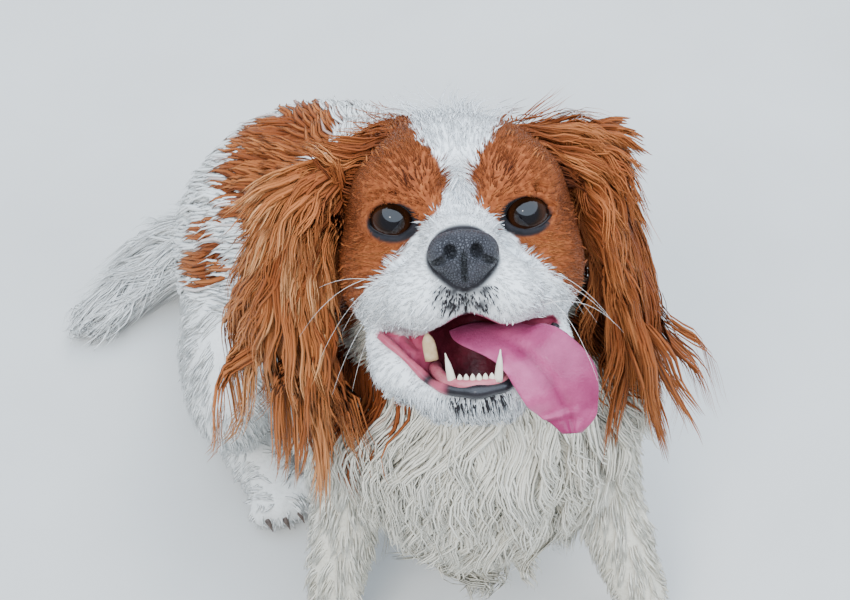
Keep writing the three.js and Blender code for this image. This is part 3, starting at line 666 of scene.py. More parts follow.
def new_effect(name, inputs, outputs):
    """A node group with named sockets, with its inner nodes still to come."""
    group = bpy.data.node_groups.new(name, "ShaderNodeTree")
    for way, sockets in (("INPUT", inputs), ("OUTPUT", outputs)):
        for label, kind in sockets.items():
            group.interface.new_socket(name=label, in_out=way, socket_type="NodeSocket" + kind)
    given, out = group.nodes.new("NodeGroupInput").outputs, group.nodes.new("NodeGroupOutput").inputs
    return group, Paint(group), given, out


def own_noise_effect():
    """A noise on the piece's own coordinates."""
    group, paint, given, out = new_effect(
        "own_noise", {"Scale": "Float", "Detail": "Float", "Roughness": "Float"}, {"Value": "Float"})
    place = paint.node("TexCoord").outputs["Object"]
    noise = paint.node("TexNoise", Vector=place, Scale=given["Scale"], Detail=given["Detail"],
                       Roughness=given["Roughness"])
    paint.feed(out["Value"], noise.outputs["Fac"])
    return group


WHITE_HAIR = ((0.0, (0.60, 0.63, 0.65)), (0.35, (0.84, 0.865, 0.88)), (1.0, (0.97, 0.98, 0.99)))
CREAM_HAIR = ((0.0, (0.46, 0.41, 0.31)), (0.4, (0.78, 0.735, 0.62)), (1.0, (0.97, 0.94, 0.84)))
CHESTNUT_HAIR = ((0.0, (0.06, 0.012, 0.003)), (0.4, (0.24, 0.060, 0.016)),
                 (0.75, (0.47, 0.155, 0.046)), (1.0, (0.72, 0.35, 0.15)))
DARK_HAIR = ((0.0, (0.012, 0.011, 0.013)), (1.0, (0.06, 0.055, 0.06)))


def hair_effect():
    """The colour of hair: its shade from root to tip, and which of the coat's colours it has."""
    group, paint, given, out = new_effect(
        "hair_colour", {"Shade": "Float", "Chestnut": "Float", "Cream": "Float", "Dark": "Float"},
        {"Colour": "Color"})
    colour = paint.ramp(given["Shade"], WHITE_HAIR)
    for share, stops in (("Cream", CREAM_HAIR), ("Chestnut", CHESTNUT_HAIR), ("Dark", DARK_HAIR)):
        colour = paint.mix(given[share], colour, paint.ramp(given["Shade"], stops))
    paint.feed(out["Colour"], colour)
    return group


CLOUD_EDGES = (0.3, 0.72)
GRAIN_FINENESS = 9.0


def clouded_effect():
    """Two tones in clouds, with a fine grain."""
    group, paint, given, out = new_effect(
        "clouded_tones", {"Low": "Color", "High": "Color", "Scale": "Float"},
        {"Colour": "Color", "Grain": "Float"})
    share = paint.node("MapRange", **{"Value": paint.noise(given["Scale"]), "From Min": CLOUD_EDGES[0],
                                      "From Max": CLOUD_EDGES[1]})
    paint.feed(out["Colour"], paint.mix(share.outputs["Result"], given["Low"], given["High"]))
    paint.feed(out["Grain"], paint.noise(paint.times(given["Scale"], GRAIN_FINENESS)))
    return group


OWN_NOISE = own_noise_effect()
HAIR_COLOUR = hair_effect()
CLOUDED_TONES = clouded_effect()


def strands(paint):
    """The single hairs within a lock: streaks that run along it."""
    lock = paint.number("lock")
    place = paint.node("CombineXYZ", X=paint.times(lock, 57.0, paint.number("across")),
                       Y=paint.times(paint.number("along"), 0.15), Z=paint.times(lock, 23.0))
    return paint.node("TexNoise", Vector=place.outputs[0], Scale=4.5, Detail=2.0).outputs["Fac"]


def coat_finish(name):
    """Hair: white or chestnut by its root, with painted shade that darkens it towards the root, and a tone
    that differs from lock to lock.
    """
    finish, paint = new_finish(name)
    strand = strands(paint)
    # Painted shade: a lock is darker towards its root, where it lies under the rest of the coat.
    depth = paint.times(paint.number("along"), 0.42, paint.times(paint.number("tone"), 0.62))
    shade = paint.times(strand, 0.5, paint.math("ADD", depth, -0.26))
    colour = paint.effect(HAIR_COLOUR, Shade=shade, Chestnut=paint.number("chestnut"),
                          Cream=paint.number("cream"), Dark=paint.number("dark"))["Colour"]
    paint.surface(colour, paint.times(strand, 0.2, 0.5), specular=0.16, bump=(strand, 0.0004, 0.6))
    return finish


def skin_finish():
    """Skin under the coat: the same markings with a nap, bare and wet where there is no coat."""
    finish, paint = new_finish("skin_under_coat")
    nap = paint.noise(420.0, 4.0, 0.6)
    coat = paint.effect(HAIR_COLOUR, Shade=paint.times(nap, 0.8), Chestnut=paint.number("chestnut"),
                        Cream=paint.number("cream"), Dark=0.0)["Colour"]
    # The first pair is the flesh at the back and middle of the mouth, painted a deep maroon as painted shade;
    # the second is the pink flesh at its front and corners; the third is dark bare skin.
    deep, pink, dark = (paint.clouds(low, high, 160.0)["Colour"] for low, high in (
        ((0.06, 0.007, 0.012), (0.15, 0.018, 0.032)),
        ((0.36, 0.045, 0.10), (0.52, 0.11, 0.18)),
        ((0.008, 0.008, 0.010), (0.022, 0.019, 0.022))))
    mouth = paint.number("mouth")
    colour = paint.mix(mouth, coat, paint.mix(paint.number("pink"), deep, pink))
    colour = paint.mix(paint.number("dark"), colour, dark)
    paint.surface(colour, paint.times(mouth, -0.5, 0.8), specular=0.25, bump=(nap, 0.0008, 0.6))
    return finish


def leather_finish():
    """The nose: slate black, pebbled and moist, with painted shade in its nostrils and groove."""
    finish, paint = new_finish("nose_leather")
    place = paint.node("TexCoord").outputs["Object"]
    pebbles = paint.node("TexVoronoi", Vector=place, Scale=760.0)
    pebbles.feature = "DISTANCE_TO_EDGE"
    clouds = paint.noise(130.0)
    height = paint.math("MINIMUM", pebbles.outputs["Distance"], 0.22)
    shade = paint.times(height, 1.6, paint.times(clouds, 0.8))
    colour = paint.ramp(shade, ((0.3, (0.012, 0.012, 0.016)), (0.9, (0.062, 0.062, 0.074))))
    # Near black in the nostrils and the groove: painted shade.
    colour = paint.mix(paint.number("hole"), colour, (0.002, 0.002, 0.002))
    paint.surface(colour, paint.times(clouds, 0.25, 0.28), bump=(height, 0.002, 1.0))
    return finish


def eye_finish():
    """The eye from its axis out: pupil, iris, dark ring and white, under a wet coat."""
    finish, paint = new_finish("eye")
    fibres = paint.noise(900.0, 2.0)
    wavy = paint.times(fibres, 0.06, paint.math("ADD", paint.number("gaze"), -0.03))
    colour = paint.ramp(wavy, (
        (0.0, (0.002, 0.002, 0.003)), (0.34, (0.003, 0.002, 0.003)), (0.44, (0.008, 0.003, 0.001)),
        (0.66, (0.030, 0.009, 0.003)), (0.80, (0.010, 0.003, 0.001)), (0.87, (0.003, 0.002, 0.002)),
        (0.95, (0.012, 0.008, 0.007)), (1.0, (0.030, 0.020, 0.018))))
    paint.surface(colour, paint.times(fibres, 0.1, 0.12), specular=0.05, coat=0.9, coat_roughness=0.02)
    return finish


def wet_finish(name, low, high, scale, bump_depth, roughness, coat, over=None):
    """Moist flesh, lid or tooth: two tones in clouds, and two more where a number says."""
    finish, paint = new_finish(name)
    clouds = paint.clouds(low, high, scale)
    colour, grain = clouds["Colour"], clouds["Grain"]
    if over:
        share, other_low, other_high = over
        colour = paint.mix(paint.number(share), colour, paint.clouds(other_low, other_high, scale)["Colour"])
    paint.surface(colour, paint.times(grain, 0.2, roughness - 0.1), specular=0.3, coat=coat,
                  coat_roughness=0.12, bump=(grain, bump_depth, 0.5))
    return finish


def tongue_finish():
    """Pink, with painted shade in the groove, underneath, on the side turned away and behind the rolled tip,
    and fine papillae.
    """
    return wet_finish("tongue", (0.34, 0.050, 0.140), (0.50, 0.105, 0.235), 90.0, 0.0008, 0.4, 0.15,
                      # The second pair of colours is painted shade, laid where the "groove" number says.
                      over=("groove", (0.17, 0.010, 0.055), (0.27, 0.026, 0.10)))


def lip_finish():
    """A lip that turns from pink to black along its length."""
    return wet_finish("lips", (0.38, 0.06, 0.11), (0.54, 0.13, 0.18), 120.0, 0.0004, 0.34, 0.35,
                      over=("black", (0.008, 0.008, 0.010), (0.024, 0.021, 0.026)))


def floor_finish():
    finish, paint = new_finish("pale_floor")
    paint.surface(paint.clouds((0.60, 0.60, 0.585), (0.66, 0.66, 0.645), 6.0)["Colour"], 0.9)
    return finish


# Markings: 1 where the coat is chestnut, 0 where it is white.
BLAZE_HEIGHTS = (-60, -50, -36, -26, -18, -10, -2, 5, 15, 20, 26, 33, 42, 50)
BLAZE_HALVES = (58, 55, 48, 37, 29, 23, 14, 8, 5.5, 6.5, 10, 15.5, 20, 22)
PATCHES = (
    ball((-53, 38, 298), (43, 58, 60)),
    ball((70, 48, 298), (42, 54, 62)),
    ball((-50, 82, 346), (34, 44, 40)),
    ball((-52, 196, 208), (36, 60, 42)),
    ball((-107, 178, 169), (20, 20, 20)),
    ball((8, 246, 200), (15, 14, 20)),
    ball((70, 126, 190), (48, 62, 74)),
    ball((56, 236, 150), (30, 34, 42)),
)


BACKWARD = turned(yaw=SPINE_YAW) @ vec(0, 1, 0)


def ripple(p, size):
    """A smooth unevenness from -1 to 1 with bumps of about a size."""
    k = 2 * np.pi / size
    x, y, z = p[:, 0] * k, p[:, 1] * k, p[:, 2] * k
    return (np.sin(x + 1.7 * np.sin(0.6 * y + 1)) + np.sin(y + 1.3 * np.sin(0.7 * z + 2))
            + np.sin(z + 1.5 * np.sin(0.5 * x + 4))) / 3


def smooth_step(value, low, high):
    t = np.clip((value - low) / (high - low), 0, 1)
    return t * t * (3 - 2 * t)


def face_markings(q):
    """Chestnut sides with a white blaze, muzzle and chin."""
    half = np.interp(q[:, 2], BLAZE_HEIGHTS, BLAZE_HALVES)
    top = smooth_step(q[:, 1], 20, 60)
    half = half * (1 - top) + np.maximum(half, 21) * top
    past = np.abs(q[:, 0] - 0.5) - half + 1.6 * ripple(q, 13) + 0.8 * ripple(q, 5)
    sides = smooth_step(past, -0.8, 0.8)
    under = smooth_step(q[:, 2] + 0.35 * (q[:, 1] - 20), -66, -56)
    behind = 1 - smooth_step(q[:, 1] + 3 * ripple(q, 16) - 0.4 * np.abs(q[:, 0]), 74, 80)
    return sides * under * behind


def face_shading(q):
    """The chestnut is deeper over the brows, under the eyes and towards the ears, golden on the cheeks."""
    side = np.abs(q[:, 0])
    brow = np.exp(-((side - 20) / 11) ** 2 - ((q[:, 2] - 15) / 10) ** 2)
    cheek = np.exp(-((side - 37) / 11) ** 2 - ((q[:, 2] + 16) / 8) ** 2)
    corner = np.exp(-((side - 52) / 9) ** 2 - (q[:, 2] / 26) ** 2)
    below_lid = np.exp(-((q[:, 2] + 13 + 0.75 * (side - 24)) / 2.2) ** 2)
    under_eye = below_lid * np.exp(-((side - 26) / 8) ** 2)
    change = 0.25 * cheek - 0.6 * brow - 0.3 * corner - 0.6 * under_eye
    return change * smooth_step(-q[:, 1], -60, -40)


def body_markings(p):
    inside = -np.min([patch(p) for patch in PATCHES], axis=0)
    return smooth_step(inside + 5 * ripple(p, 34) + 2.5 * ripple(p, 12), -1.5, 1.5)


def markings(p, forms):
    on_ear = np.isin(forms, [FORM_NAMES.index("ear_right"), FORM_NAMES.index("ear_left")])
    value = np.where(forms == FORM_NAMES.index("head"), face_markings(to_head(p)), body_markings(p))
    return np.where(on_ear, 1.0, value)


def cream_and_shade_share(p):
    """White hair is creamy on the breast. The cream is also painted shade, as it darkens the white: the
    breast and, a little, the body are greyed by it, and the face, left purest, is painted brightest as in
    full light.
    """
    breast = smooth_step(-p @ BACKWARD, -90, -10) * smooth_step(-p[:, 2], -330, -280)
    face = smooth_step(-length_of(to_head(p)), -110, -80)
    return np.clip(0.25 + 0.85 * breast - 0.6 * face, 0, 1)


# The skin.
def muzzle_shadow(q):
    """Dark skin below the nose and under the lower lip, mottled with pink."""
    below = smooth_step(-length_of((q - vec(1, -40, -38)) / vec(15, 14, 12)), -1.2, -0.7)
    lip = smooth_step(-length_of((q - vec(4, -18, -82)) / vec(18, 9, 5)), -1.2, -0.8)
    cleft = smooth_step(-np.abs(q[:, 0] - 1), -1.5, -0.5) * smooth_step(-q[:, 2], 34, 36) * (q[:, 1] < -22)
    mottled = np.maximum(below * (0.62 + 0.38 * ripple(q, 7)), lip * (0.5 + 0.4 * ripple(q, 5)))
    return np.maximum(mottled, cleft * (q[:, 2] > -50))


def mouth_share(q):
    """1 on the bare flesh inside the mouth."""
    above_lip = q[:, 2] - height_at(q, LOWER_LIP)
    cut = smooth_step(-mouth_opening()(q), -1.4, -0.2) * smooth_step(above_lip, -1.5, 0)
    corner = smooth_step(-between_lips(q), -0.6, 0.3) * smooth_step(-q[:, 1], -34, -26)
    return np.maximum(cut, corner)


SKIN_CELL = 3.4
SEAM_ANGLE = 66


def make_skin():
    """One skin over the whole dog, finer over the face."""
    points, faces = skinned(skin_form, (-215, -100, -6), (165, 345, 450), SKIN_CELL)
    skin = piece_of("skin", points, facing_out(points, faces), skin_finish())
    q = to_head(points)
    centres = np.array([q[face].mean(0) for face in faces])
    on_face = ((centres[:, 1] < 24) & (centres[:, 2] > -100) & (centres[:, 2] < 46)
               & (length_of(centres) < 106))
    in_edit_mode(skin, lambda: bpy.ops.mesh.select_all(action="DESELECT"))
    skin.data.polygons.foreach_set("select", on_face)
    in_edit_mode(skin, lambda: bpy.ops.mesh.subdivide(number_cuts=2, quadcorner="INNERVERT"))
    points = settle(skin_form, own_points(skin), rounds=3)
    skin.data.vertices.foreach_set("co", placed(points).astype(np.float32).ravel())
    in_edit_mode(skin, lambda: bpy.ops.mesh.select_all(action="SELECT"))
    in_edit_mode(skin, lambda: bpy.ops.mesh.quads_convert_to_tris())
    in_edit_mode(skin, lambda: bpy.ops.uv.smart_project(angle_limit=math.radians(SEAM_ANGLE),
                                                        island_margin=0.002))
    skin.data.uv_layers[0].name = "OFBake"
    skin.data.polygons.foreach_set("use_smooth", np.ones(len(skin.data.polygons), dtype=bool))
    points = own_points(skin)
    forms = nearest_form(points)
    q = to_head(points)
    near_nose = np.maximum(1 - nose_form()(q) / 4, 0)
    rims = np.maximum(smooth_step(near_nose, 0, 0.8), smooth_step(-lid_skin(q), -1.0, 0.6))
    # The "pink" number: the mouth's flesh is pink at the front and corners, and further in it takes the deep
    # maroon of painted shade.
    store(skin, chestnut=markings(points, forms), mouth=mouth_share(q),
          pink=smooth_step(np.abs(q[:, 0] - MOUTH_CORNER[0]) - 0.4 * q[:, 1], 12, 17),
          cream=cream_and_shade_share(points), dark=np.maximum(rims, muzzle_shadow(q)))
    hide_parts("head", "lower_jaw", "neck", "chest", "torso", "rump", "tail", "ear_right", "ear_left",
                *[part + "_" + side for side in ("right", "left")
                  for part in ("foreleg", "hindleg", "forepaw", "hindpaw")])
    return skin


# The eyes, nose, mouth and claws.
CAMERA_AZIMUTH = -12
CAMERA_RISE = 52
CAMERA_LENS = 80
CAMERA_DISTANCE = 862
SENSOR_WIDTH = 36
FRAME_WIDTH = 850
FRAME_HEIGHT = 600
EYES_IN_FRAME = (459, 214)


def camera_view():
    """The camera's place, and its right, up and back."""
    azimuth, rise = math.radians(CAMERA_AZIMUTH), math.radians(CAMERA_RISE)
    back = np.array([math.sin(azimuth) * math.cos(rise), -math.cos(azimuth) * math.cos(rise), math.sin(rise)])
    right = np.array([math.cos(azimuth), math.sin(azimuth), 0])
    up = np.cross(back, right)
    focal = CAMERA_LENS / SENSOR_WIDTH * FRAME_WIDTH
    ray = (-back + (EYES_IN_FRAME[0] - FRAME_WIDTH / 2) / focal * right
           + (FRAME_HEIGHT / 2 - EYES_IN_FRAME[1]) / focal * up)
    return np.array([0, 0, EYE_HEIGHT]) - ray * CAMERA_DISTANCE, right, up, back


def gaze_axis():
    """The way the eyes look, in the head's frame: up into the camera."""
    place = camera_view()[0]
    return unit((place - HEAD_AT) @ HEAD_AXES)


def finished(piece, name, finish):
    """A modelled piece, smooth, at the origin, and riding with the dog."""
    piece.name = piece.data.name = name
    select_only(piece)
    bpy.ops.object.transform_apply(location=True, rotation=True, scale=True)
    bpy.ops.object.shade_smooth()
    piece.select_set(False)
    piece.data.materials.clear()
    piece.data.materials.append(finish)
    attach(piece, "root")
    return piece


def make_eye(side, finish):
    """A ball turned to the camera, with its clear front drawn out a little."""
    name = "left" if side > 0 else "right"
    axis = HEAD_AXES @ unit(gaze_axis() + np.array([side * 0.06, 0, 0.0]))
    centre = placed(from_head([side * EYE_AT[0], EYE_AT[1], EYE_AT[2]]))
    turn = Vector(axis.tolist()).to_track_quat("Z", "Y").to_euler()
    deselect_all()
    bpy.ops.mesh.primitive_uv_sphere_add(segments=48, ring_count=36, radius=EYE_RADIUS / 1000,
                                         location=centre, rotation=turn)
    eye = finished(bpy.context.object, "eyeball_" + name, finish)
    spots = np.array([vertex.co for vertex in eye.data.vertices])
    eye.data.vertices.foreach_set("select", unit(spots - centre) @ axis > 0.999)
    in_edit_mode(eye, lambda: bpy.ops.transform.translate(
        value=tuple(axis * 0.9 / 1000), use_proportional_edit=True, proportional_size=8 / 1000,
        proportional_edit_falloff="SMOOTH"))
    spots = np.array([vertex.co for vertex in eye.data.vertices])
    store(eye, gaze=np.arccos(np.clip(unit(spots - centre) @ axis, -1, 1)))
    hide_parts("eye_" + name)


def drawn_out(radius, length, lean, fullness, flatness=1.0, rings=6, sides=14):
    """A point drawn out of a disc ring by ring, leaning as it goes: a tooth or a claw along z."""
    deselect_all()
    bpy.ops.mesh.primitive_circle_add(vertices=sides, radius=radius / 1000, fill_type="NGON")
    piece = bpy.context.object
    piece.scale = (1, flatness, 1)
    bpy.ops.object.transform_apply(scale=True)

    def draw():
        bpy.ops.mesh.select_all(action="SELECT")
        at, width = np.zeros(3), 1.0
        for ring in range(1, rings + 1):
            t = ring / rings
            step = np.array([0, lean * (2 * t - 1 / rings), 1]) * length / rings / 1000
            bpy.ops.mesh.extrude_region_move(TRANSFORM_OT_translate={"value": tuple(step)})
            at = at + step
            now = max(1 - t ** fullness, 0.12)
            bpy.ops.transform.resize(value=(now / width,) * 3, center_override=tuple(at))
            width = now
        bpy.ops.mesh.select_all(action="SELECT")
        bpy.ops.mesh.normals_make_consistent(inside=False)
    in_edit_mode(piece, draw)
    return piece


def copied_to(model, jobs):
    """Copies of a model, each with its own mesh, stood on their places along their ways; then joined."""
    copies = []
    for at, way, front in jobs:
        copy = model.copy()
        copy.data = model.data.copy()
        bpy.context.scene.collection.objects.link(copy)
        up = unit(np.asarray(way, dtype=float))
        right = unit(np.cross(front, up))
        set_frame(copy, at, right, np.cross(up, right), up)
        copies.append(copy)
    bpy.data.objects.remove(model)
    select_only(*copies)
    bpy.ops.object.join()
    return bpy.context.object


def make_lids():
    """The black rim round each eye, drawn along its opening."""
    finish = wet_finish("eye_rims", (0.006, 0.005, 0.006), (0.018, 0.014, 0.015), 300.0, 0.0003, 0.5, 0.08)
    count = 64
    turn = np.arange(count) * 2 * np.pi / count
    for side, name in ((1, "left"), (-1, "right")):
        tilt = 0.12
        x = 10.6 * np.cos(turn)
        z = 7.3 * np.sin(turn) * (1 - 0.12 * np.cos(turn)) + tilt * x
        yaw = math.radians(12)
        flat = np.stack([x, np.zeros(count), z], axis=1)
        outward = np.array([math.sin(yaw) * 0.9, -math.cos(yaw), 0.04])
        spread = unit(flat @ turned(yaw=12).T.astype(np.float64) / EYE_RADIUS + outward * np.sqrt(
            np.maximum(1 - (flat ** 2).sum(1) / EYE_RADIUS ** 2, 0.06))[:, None])
        centres = spread * (EYE_RADIUS + 0.55)
        centres = (centres + np.array(EYE_AT)) * np.array([side, 1, 1])
        radius = 0.82 + 0.12 * np.cos(turn * 2)
        hint = unit(centres - np.array([side * EYE_AT[0], EYE_AT[1], EYE_AT[2]]))
        points, faces = cord(centres, radius, hint, sides=10, flatness=0.8, closed=True)
        rim = head_piece("eye_rim_" + name, points, faces, finish)


def nostrils():
    return mirrored(blend(1.5,
                          ball((5.8, -48, -17.5), (3.0, 6.5, 3.6)),
                          limb((7.5, -47.5, -20.5), (14.5, -40, -22.5), 2.0, 0.9)), 1)


def nose_groove():
    return limb((1, -47.6, -15), (1, -42.6, -38), 1.2, 1.6)


def nose_form():
    pad = blend(4,
                ball((1, -35, -17), (14.5, 11, 9.5)),
                mirrored(ball((8.2, -39, -18.5), (7.2, 7.6, 8)), 1),
                ball((1, -37, -25), (10, 8, 9)))
    return carve(1.0, carve(1.2, pad, nostrils()), nose_groove())


def make_nose():
    local, faces = skinned(nose_form(), (-20, -56, -42), (22, -20, 0), 0.7)
    nose = head_piece("nose_pad", local, faces, leather_finish())
    # Painted shade: the insides of the nostrils and the groove are made near black.
    deep = np.maximum(smooth_step(-nostrils()(local), -0.6, 0.6) * smooth_step(local[:, 1], -47, -44.5),
                      smooth_step(-nose_groove()(local), -0.5, 0.2))
    store(nose, hole=deep)
    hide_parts("nose")


TONGUE = (
    ((4, 16, -53), (1, 0, 0), 12, 6),
    ((9, 4, -56), (0.97, 0.05, 0.2), 13.5, 6.5),
    ((21, -9, -59.5), (0.9, 0.1, 0.33), 14, 6.5),
    ((27.5, -14.5, -62.5), (0.82, 0.1, 0.47), 15.3, 6.5),
    ((33.5, -18.5, -67.5), (0.72, 0.1, 0.62), 17, 6.3),
    ((41.5, -20, -79), (0.9, 0.1, 0.42), 18, 6),
    ((45.5, -16, -91), (0.98, 0, 0.15), 13, 5.5),
    ((46, -17, -101), (0.97, 0, 0.24), 8, 4.5),
)


def make_tongue():
    """A blade through its stations, grooved down the middle and rolled at its tip."""
    rings, sides = 56, 36
    centres = smooth_curve([station[0] for station in TONGUE], rings)
    across = unit(smooth_curve([station[1] for station in TONGUE], rings))
    half = smooth_curve([station[2] for station in TONGUE], rings)
    thick = smooth_curve([station[3] for station in TONGUE], rings)
    along = np.linspace(0, 1, rings)
    half = half * np.sqrt(np.clip((1.03 - along) / 0.13, 0, 1)) ** 0.8
    ahead = unit(np.gradient(centres, axis=0))
    side = unit(across - ahead * (across * ahead).sum(1)[:, None])
    up = np.cross(ahead, side)
    angle = np.arange(sides) * 2 * np.pi / sides
    c, s = np.cos(angle), np.sin(angle)
    lean = c[None] * np.ones((rings, 1))
    middle = -0.22 * np.sin(np.pi * along[:, None])
    groove = np.exp(-((lean - middle) / 0.17) ** 2) * (s > 0) * smooth_step(along[:, None], 0.15, 0.4)
    curl = 0.26 * lean ** 2 * half[:, None] * (0.4 + 0.6 * along[:, None])
    curl = curl - 5 * np.maximum(lean - middle, 0) ** 1.4 * along[:, None]
    frill = 0.5 * np.sin(along[:, None] * 26 + 3 * np.sign(lean)) * lean ** 4
    rolled_edge = 1.6 * np.exp(-((along[:, None] - 0.865) / 0.022) ** 2) * smooth_step(-lean, -0.5, -0.1)
    height = s[None] * thick[:, None] / 2 * (1 - 0.35 * lean ** 2) - groove * 3.2 + curl * 0.5 + frill
    height = height + rolled_edge * (s > 0)
    wide = side[:, None] * (half[:, None] * c[None])[..., None]
    points, faces = tube(centres, wide, up[:, None] * height[..., None])
    tongue = head_piece("tongue_blade", points, triangles_of(faces), tongue_finish())
    # Painted shade, stored as the "groove" number: darker in the groove, on the side that turns away,
    # underneath and just behind the rolled tip.
    turned_away_shade = 0.62 * smooth_step(lean - middle, 0.0, 0.4) * smooth_step(along[:, None], 0.3, 0.6)
    tip = smooth_step(along[:, None], 0.87, 0.9) * smooth_step(-lean, -0.45, 0.0) * 0.85
    depth = np.maximum(np.maximum(groove * 0.9, turned_away_shade), np.maximum((s < -0.1)[None] * 0.6, tip))
    store(tongue, groove=np.append(depth.ravel(), (0.5, 0.5)))
    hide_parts("tongue")


def make_teeth():
    """Two lower canines, six incisors, a stained side tooth and the gum they stand in."""
    enamel = wet_finish("teeth", (0.70, 0.63, 0.48), (0.84, 0.80, 0.70), 200.0, 0.0002, 0.3, 0.5)
    stained = wet_finish("tooth_stained", (0.50, 0.34, 0.16), (0.70, 0.56, 0.36), 260.0, 0.0003, 0.35, 0.4)
    canines = [((JAW_SHIFT - 10.5, -16.5, -76), (JAW_SHIFT - 13.3, -21, -61.5)),
               ((JAW_SHIFT + 10, -18.5, -76), (JAW_SHIFT + 11.6, -22, -60.8))]
    incisors = [((JAW_SHIFT + 2.8 * place, 0.7 * abs(place) - 20, -77),
                 (JAW_SHIFT + 2.9 * place, 0.7 * abs(place) - 21.5, -71.2))
                for place in (-2.5, -1.5, -0.5, 0.5, 1.5, 2.5)]
    side_teeth = [((-15.5, -1, -66), (-17.5, -4, -52))]
    for name, finish, places, model in (
            ("canines_lower", enamel, canines, drawn_out(2.0, 15, 0.06, 2.2, 0.85, rings=8)),
            ("incisors_lower", enamel, incisors, drawn_out(1.4, 5.2, 0.0, 5, 0.7, rings=6)),
            ("tooth_side", stained, side_teeth, drawn_out(3.2, 13, 0.0, 6, 0.7, rings=7))):
        jobs = [(placed(from_head(base)), HEAD_AXES @ np.subtract(tip, base), HEAD_AXES @ vec(0, -1, 0))
                for base, tip in places]
        finished(copied_to(model, jobs), name, finish)
    gum = wet_finish("gums", (0.40, 0.085, 0.12), (0.56, 0.17, 0.20), 150.0, 0.0005, 0.3, 0.5)
    arc = smooth_curve([(-14, 16, -70), (-14, 2, -71), (-9, -13, -75.5), (-3, -18.5, -77), (4, -19.5, -77.3),
                        (11, -18, -77), (17, -13, -75.5), (20, 2, -71)], 48)
    points, faces = cord(arc, 2.9, (0, 0, 1), sides=12)
    gums = head_piece("gums_lower", points, faces, gum)


def make_lips():
    """The lower lip, with one dark spot in its pink corner."""
    arc = smooth_curve(LOWER_LIP, 90)
    t = np.linspace(0, 1, len(arc))
    radii = 2.0 + 1.9 * np.exp(-((t - 0.5) / 0.17) ** 2) + 0.3 * np.sin(t * 40)
    sides = 14
    points, faces = cord(arc, radii, (0, -0.4, 1), sides, flatness=0.85)
    lip = head_piece("lip_lower", points, faces, lip_finish())
    black = smooth_step(t, 0.33, 0.38)
    spot = np.exp(-((t - 0.25) / 0.03) ** 2)
    store(lip, black=np.append(np.repeat(np.clip(black + spot, 0, 1), sides), (0, 1)))


def make_claws():
    """One claw on each toe, drawn out once and copied."""
    finish = wet_finish("claws", (0.05, 0.035, 0.03), (0.16, 0.12, 0.10), 220.0, 0.0004, 0.35, 0.3)
    toes = [(at, vec(0, -1, 0), 8.0) for leg in FORELEGS.values() for at in foreleg_toes(leg)]
    for leg in HINDLEGS.values():
        centres, forward = hindleg_toes(leg)
        toes += [(at, forward, 5.0) for at in centres]
    jobs = [(placed(at + forward * reach + vec(0, 0, 1.5)), forward + vec(0, 0, -0.12), vec(0, 0, -1))
            for at, forward, reach in toes]
    finished(copied_to(drawn_out(2.1, 9.5, 0.3, 1.8, 1.25, rings=8), jobs), "claws", finish)


# The coat. Locks follow guides, and guides follow the lie of the coat over the skin.
SIDES = 3
# How high a lock's ridge stands against half its width, and where along it it is widest.
RIDGE = 0.3
WIDEST = 0.3
# How far, in millimetres, the edge of a marking strays.
MARKING_MIX = 1.1
# The share of the skin's UV map that one lock takes up.
PATCH = 0.003
# How much of its outward lean a guide loses at its root, and how far it waves off the skin
# against how far it waves to the side.
FLATTENED = 0.9
RISE = 0.45
# How near the floor guides and locks may come.
GUIDE_FLOOR = 1.2
LOCK_FLOOR = 0.9


class Skin:
    """The skin's triangles, for roots to be set on."""

    def __init__(self, skin):
        mesh = skin.data
        mesh.calc_loop_triangles()
        corners = values_of(mesh.loop_triangles, "vertices", 3, np.int32)
        loops = values_of(mesh.loop_triangles, "loops", 3, np.int32)
        self.corners = own_points(skin)[corners]
        self.uvs = values_of(mesh.uv_layers["OFBake"].data, "uv", 2)[loops]
        across = self.corners[:, 1] - self.corners[:, 0]
        along = self.corners[:, 2] - self.corners[:, 0]
        normal = np.cross(across, along)
        self.areas = length_of(normal) / 2
        self.normals = unit(normal)
        self.centres = self.corners.mean(1)
        self.forms = nearest_form(self.centres)
        self.heads = to_head(self.centres)

    def roots(self, weights, count):
        """Places on the skin, more where the weights are greater."""
        total = np.cumsum(weights * self.areas)
        picks = np.searchsorted(total, rng.random(count) * total[-1])
        picks = np.minimum(picks, len(total) - 1)
        a, b = rng.random((2, count, 1)).astype(np.float32)
        over = (a + b) > 1
        a, b = np.where(over, 1 - a, a), np.where(over, 1 - b, b)
        spots = lambda rows: rows[:, 0] * (1 - a - b) + rows[:, 1] * a + rows[:, 2] * b
        return {"at": spots(self.corners[picks]), "uv": spots(self.uvs[picks]), "out": self.normals[picks],
                "form": self.forms[picks]}


def nearest_guide(roots, guides, batch=2000):
    """The guide whose root is nearest each root."""
    nearest = np.empty(len(roots), dtype=np.int32)
    for start in range(0, len(roots), batch):
        gap = roots[start:start + batch, None] - guides[None]
        nearest[start:start + batch] = (gap * gap).sum(-1).argmin(1)
    return nearest


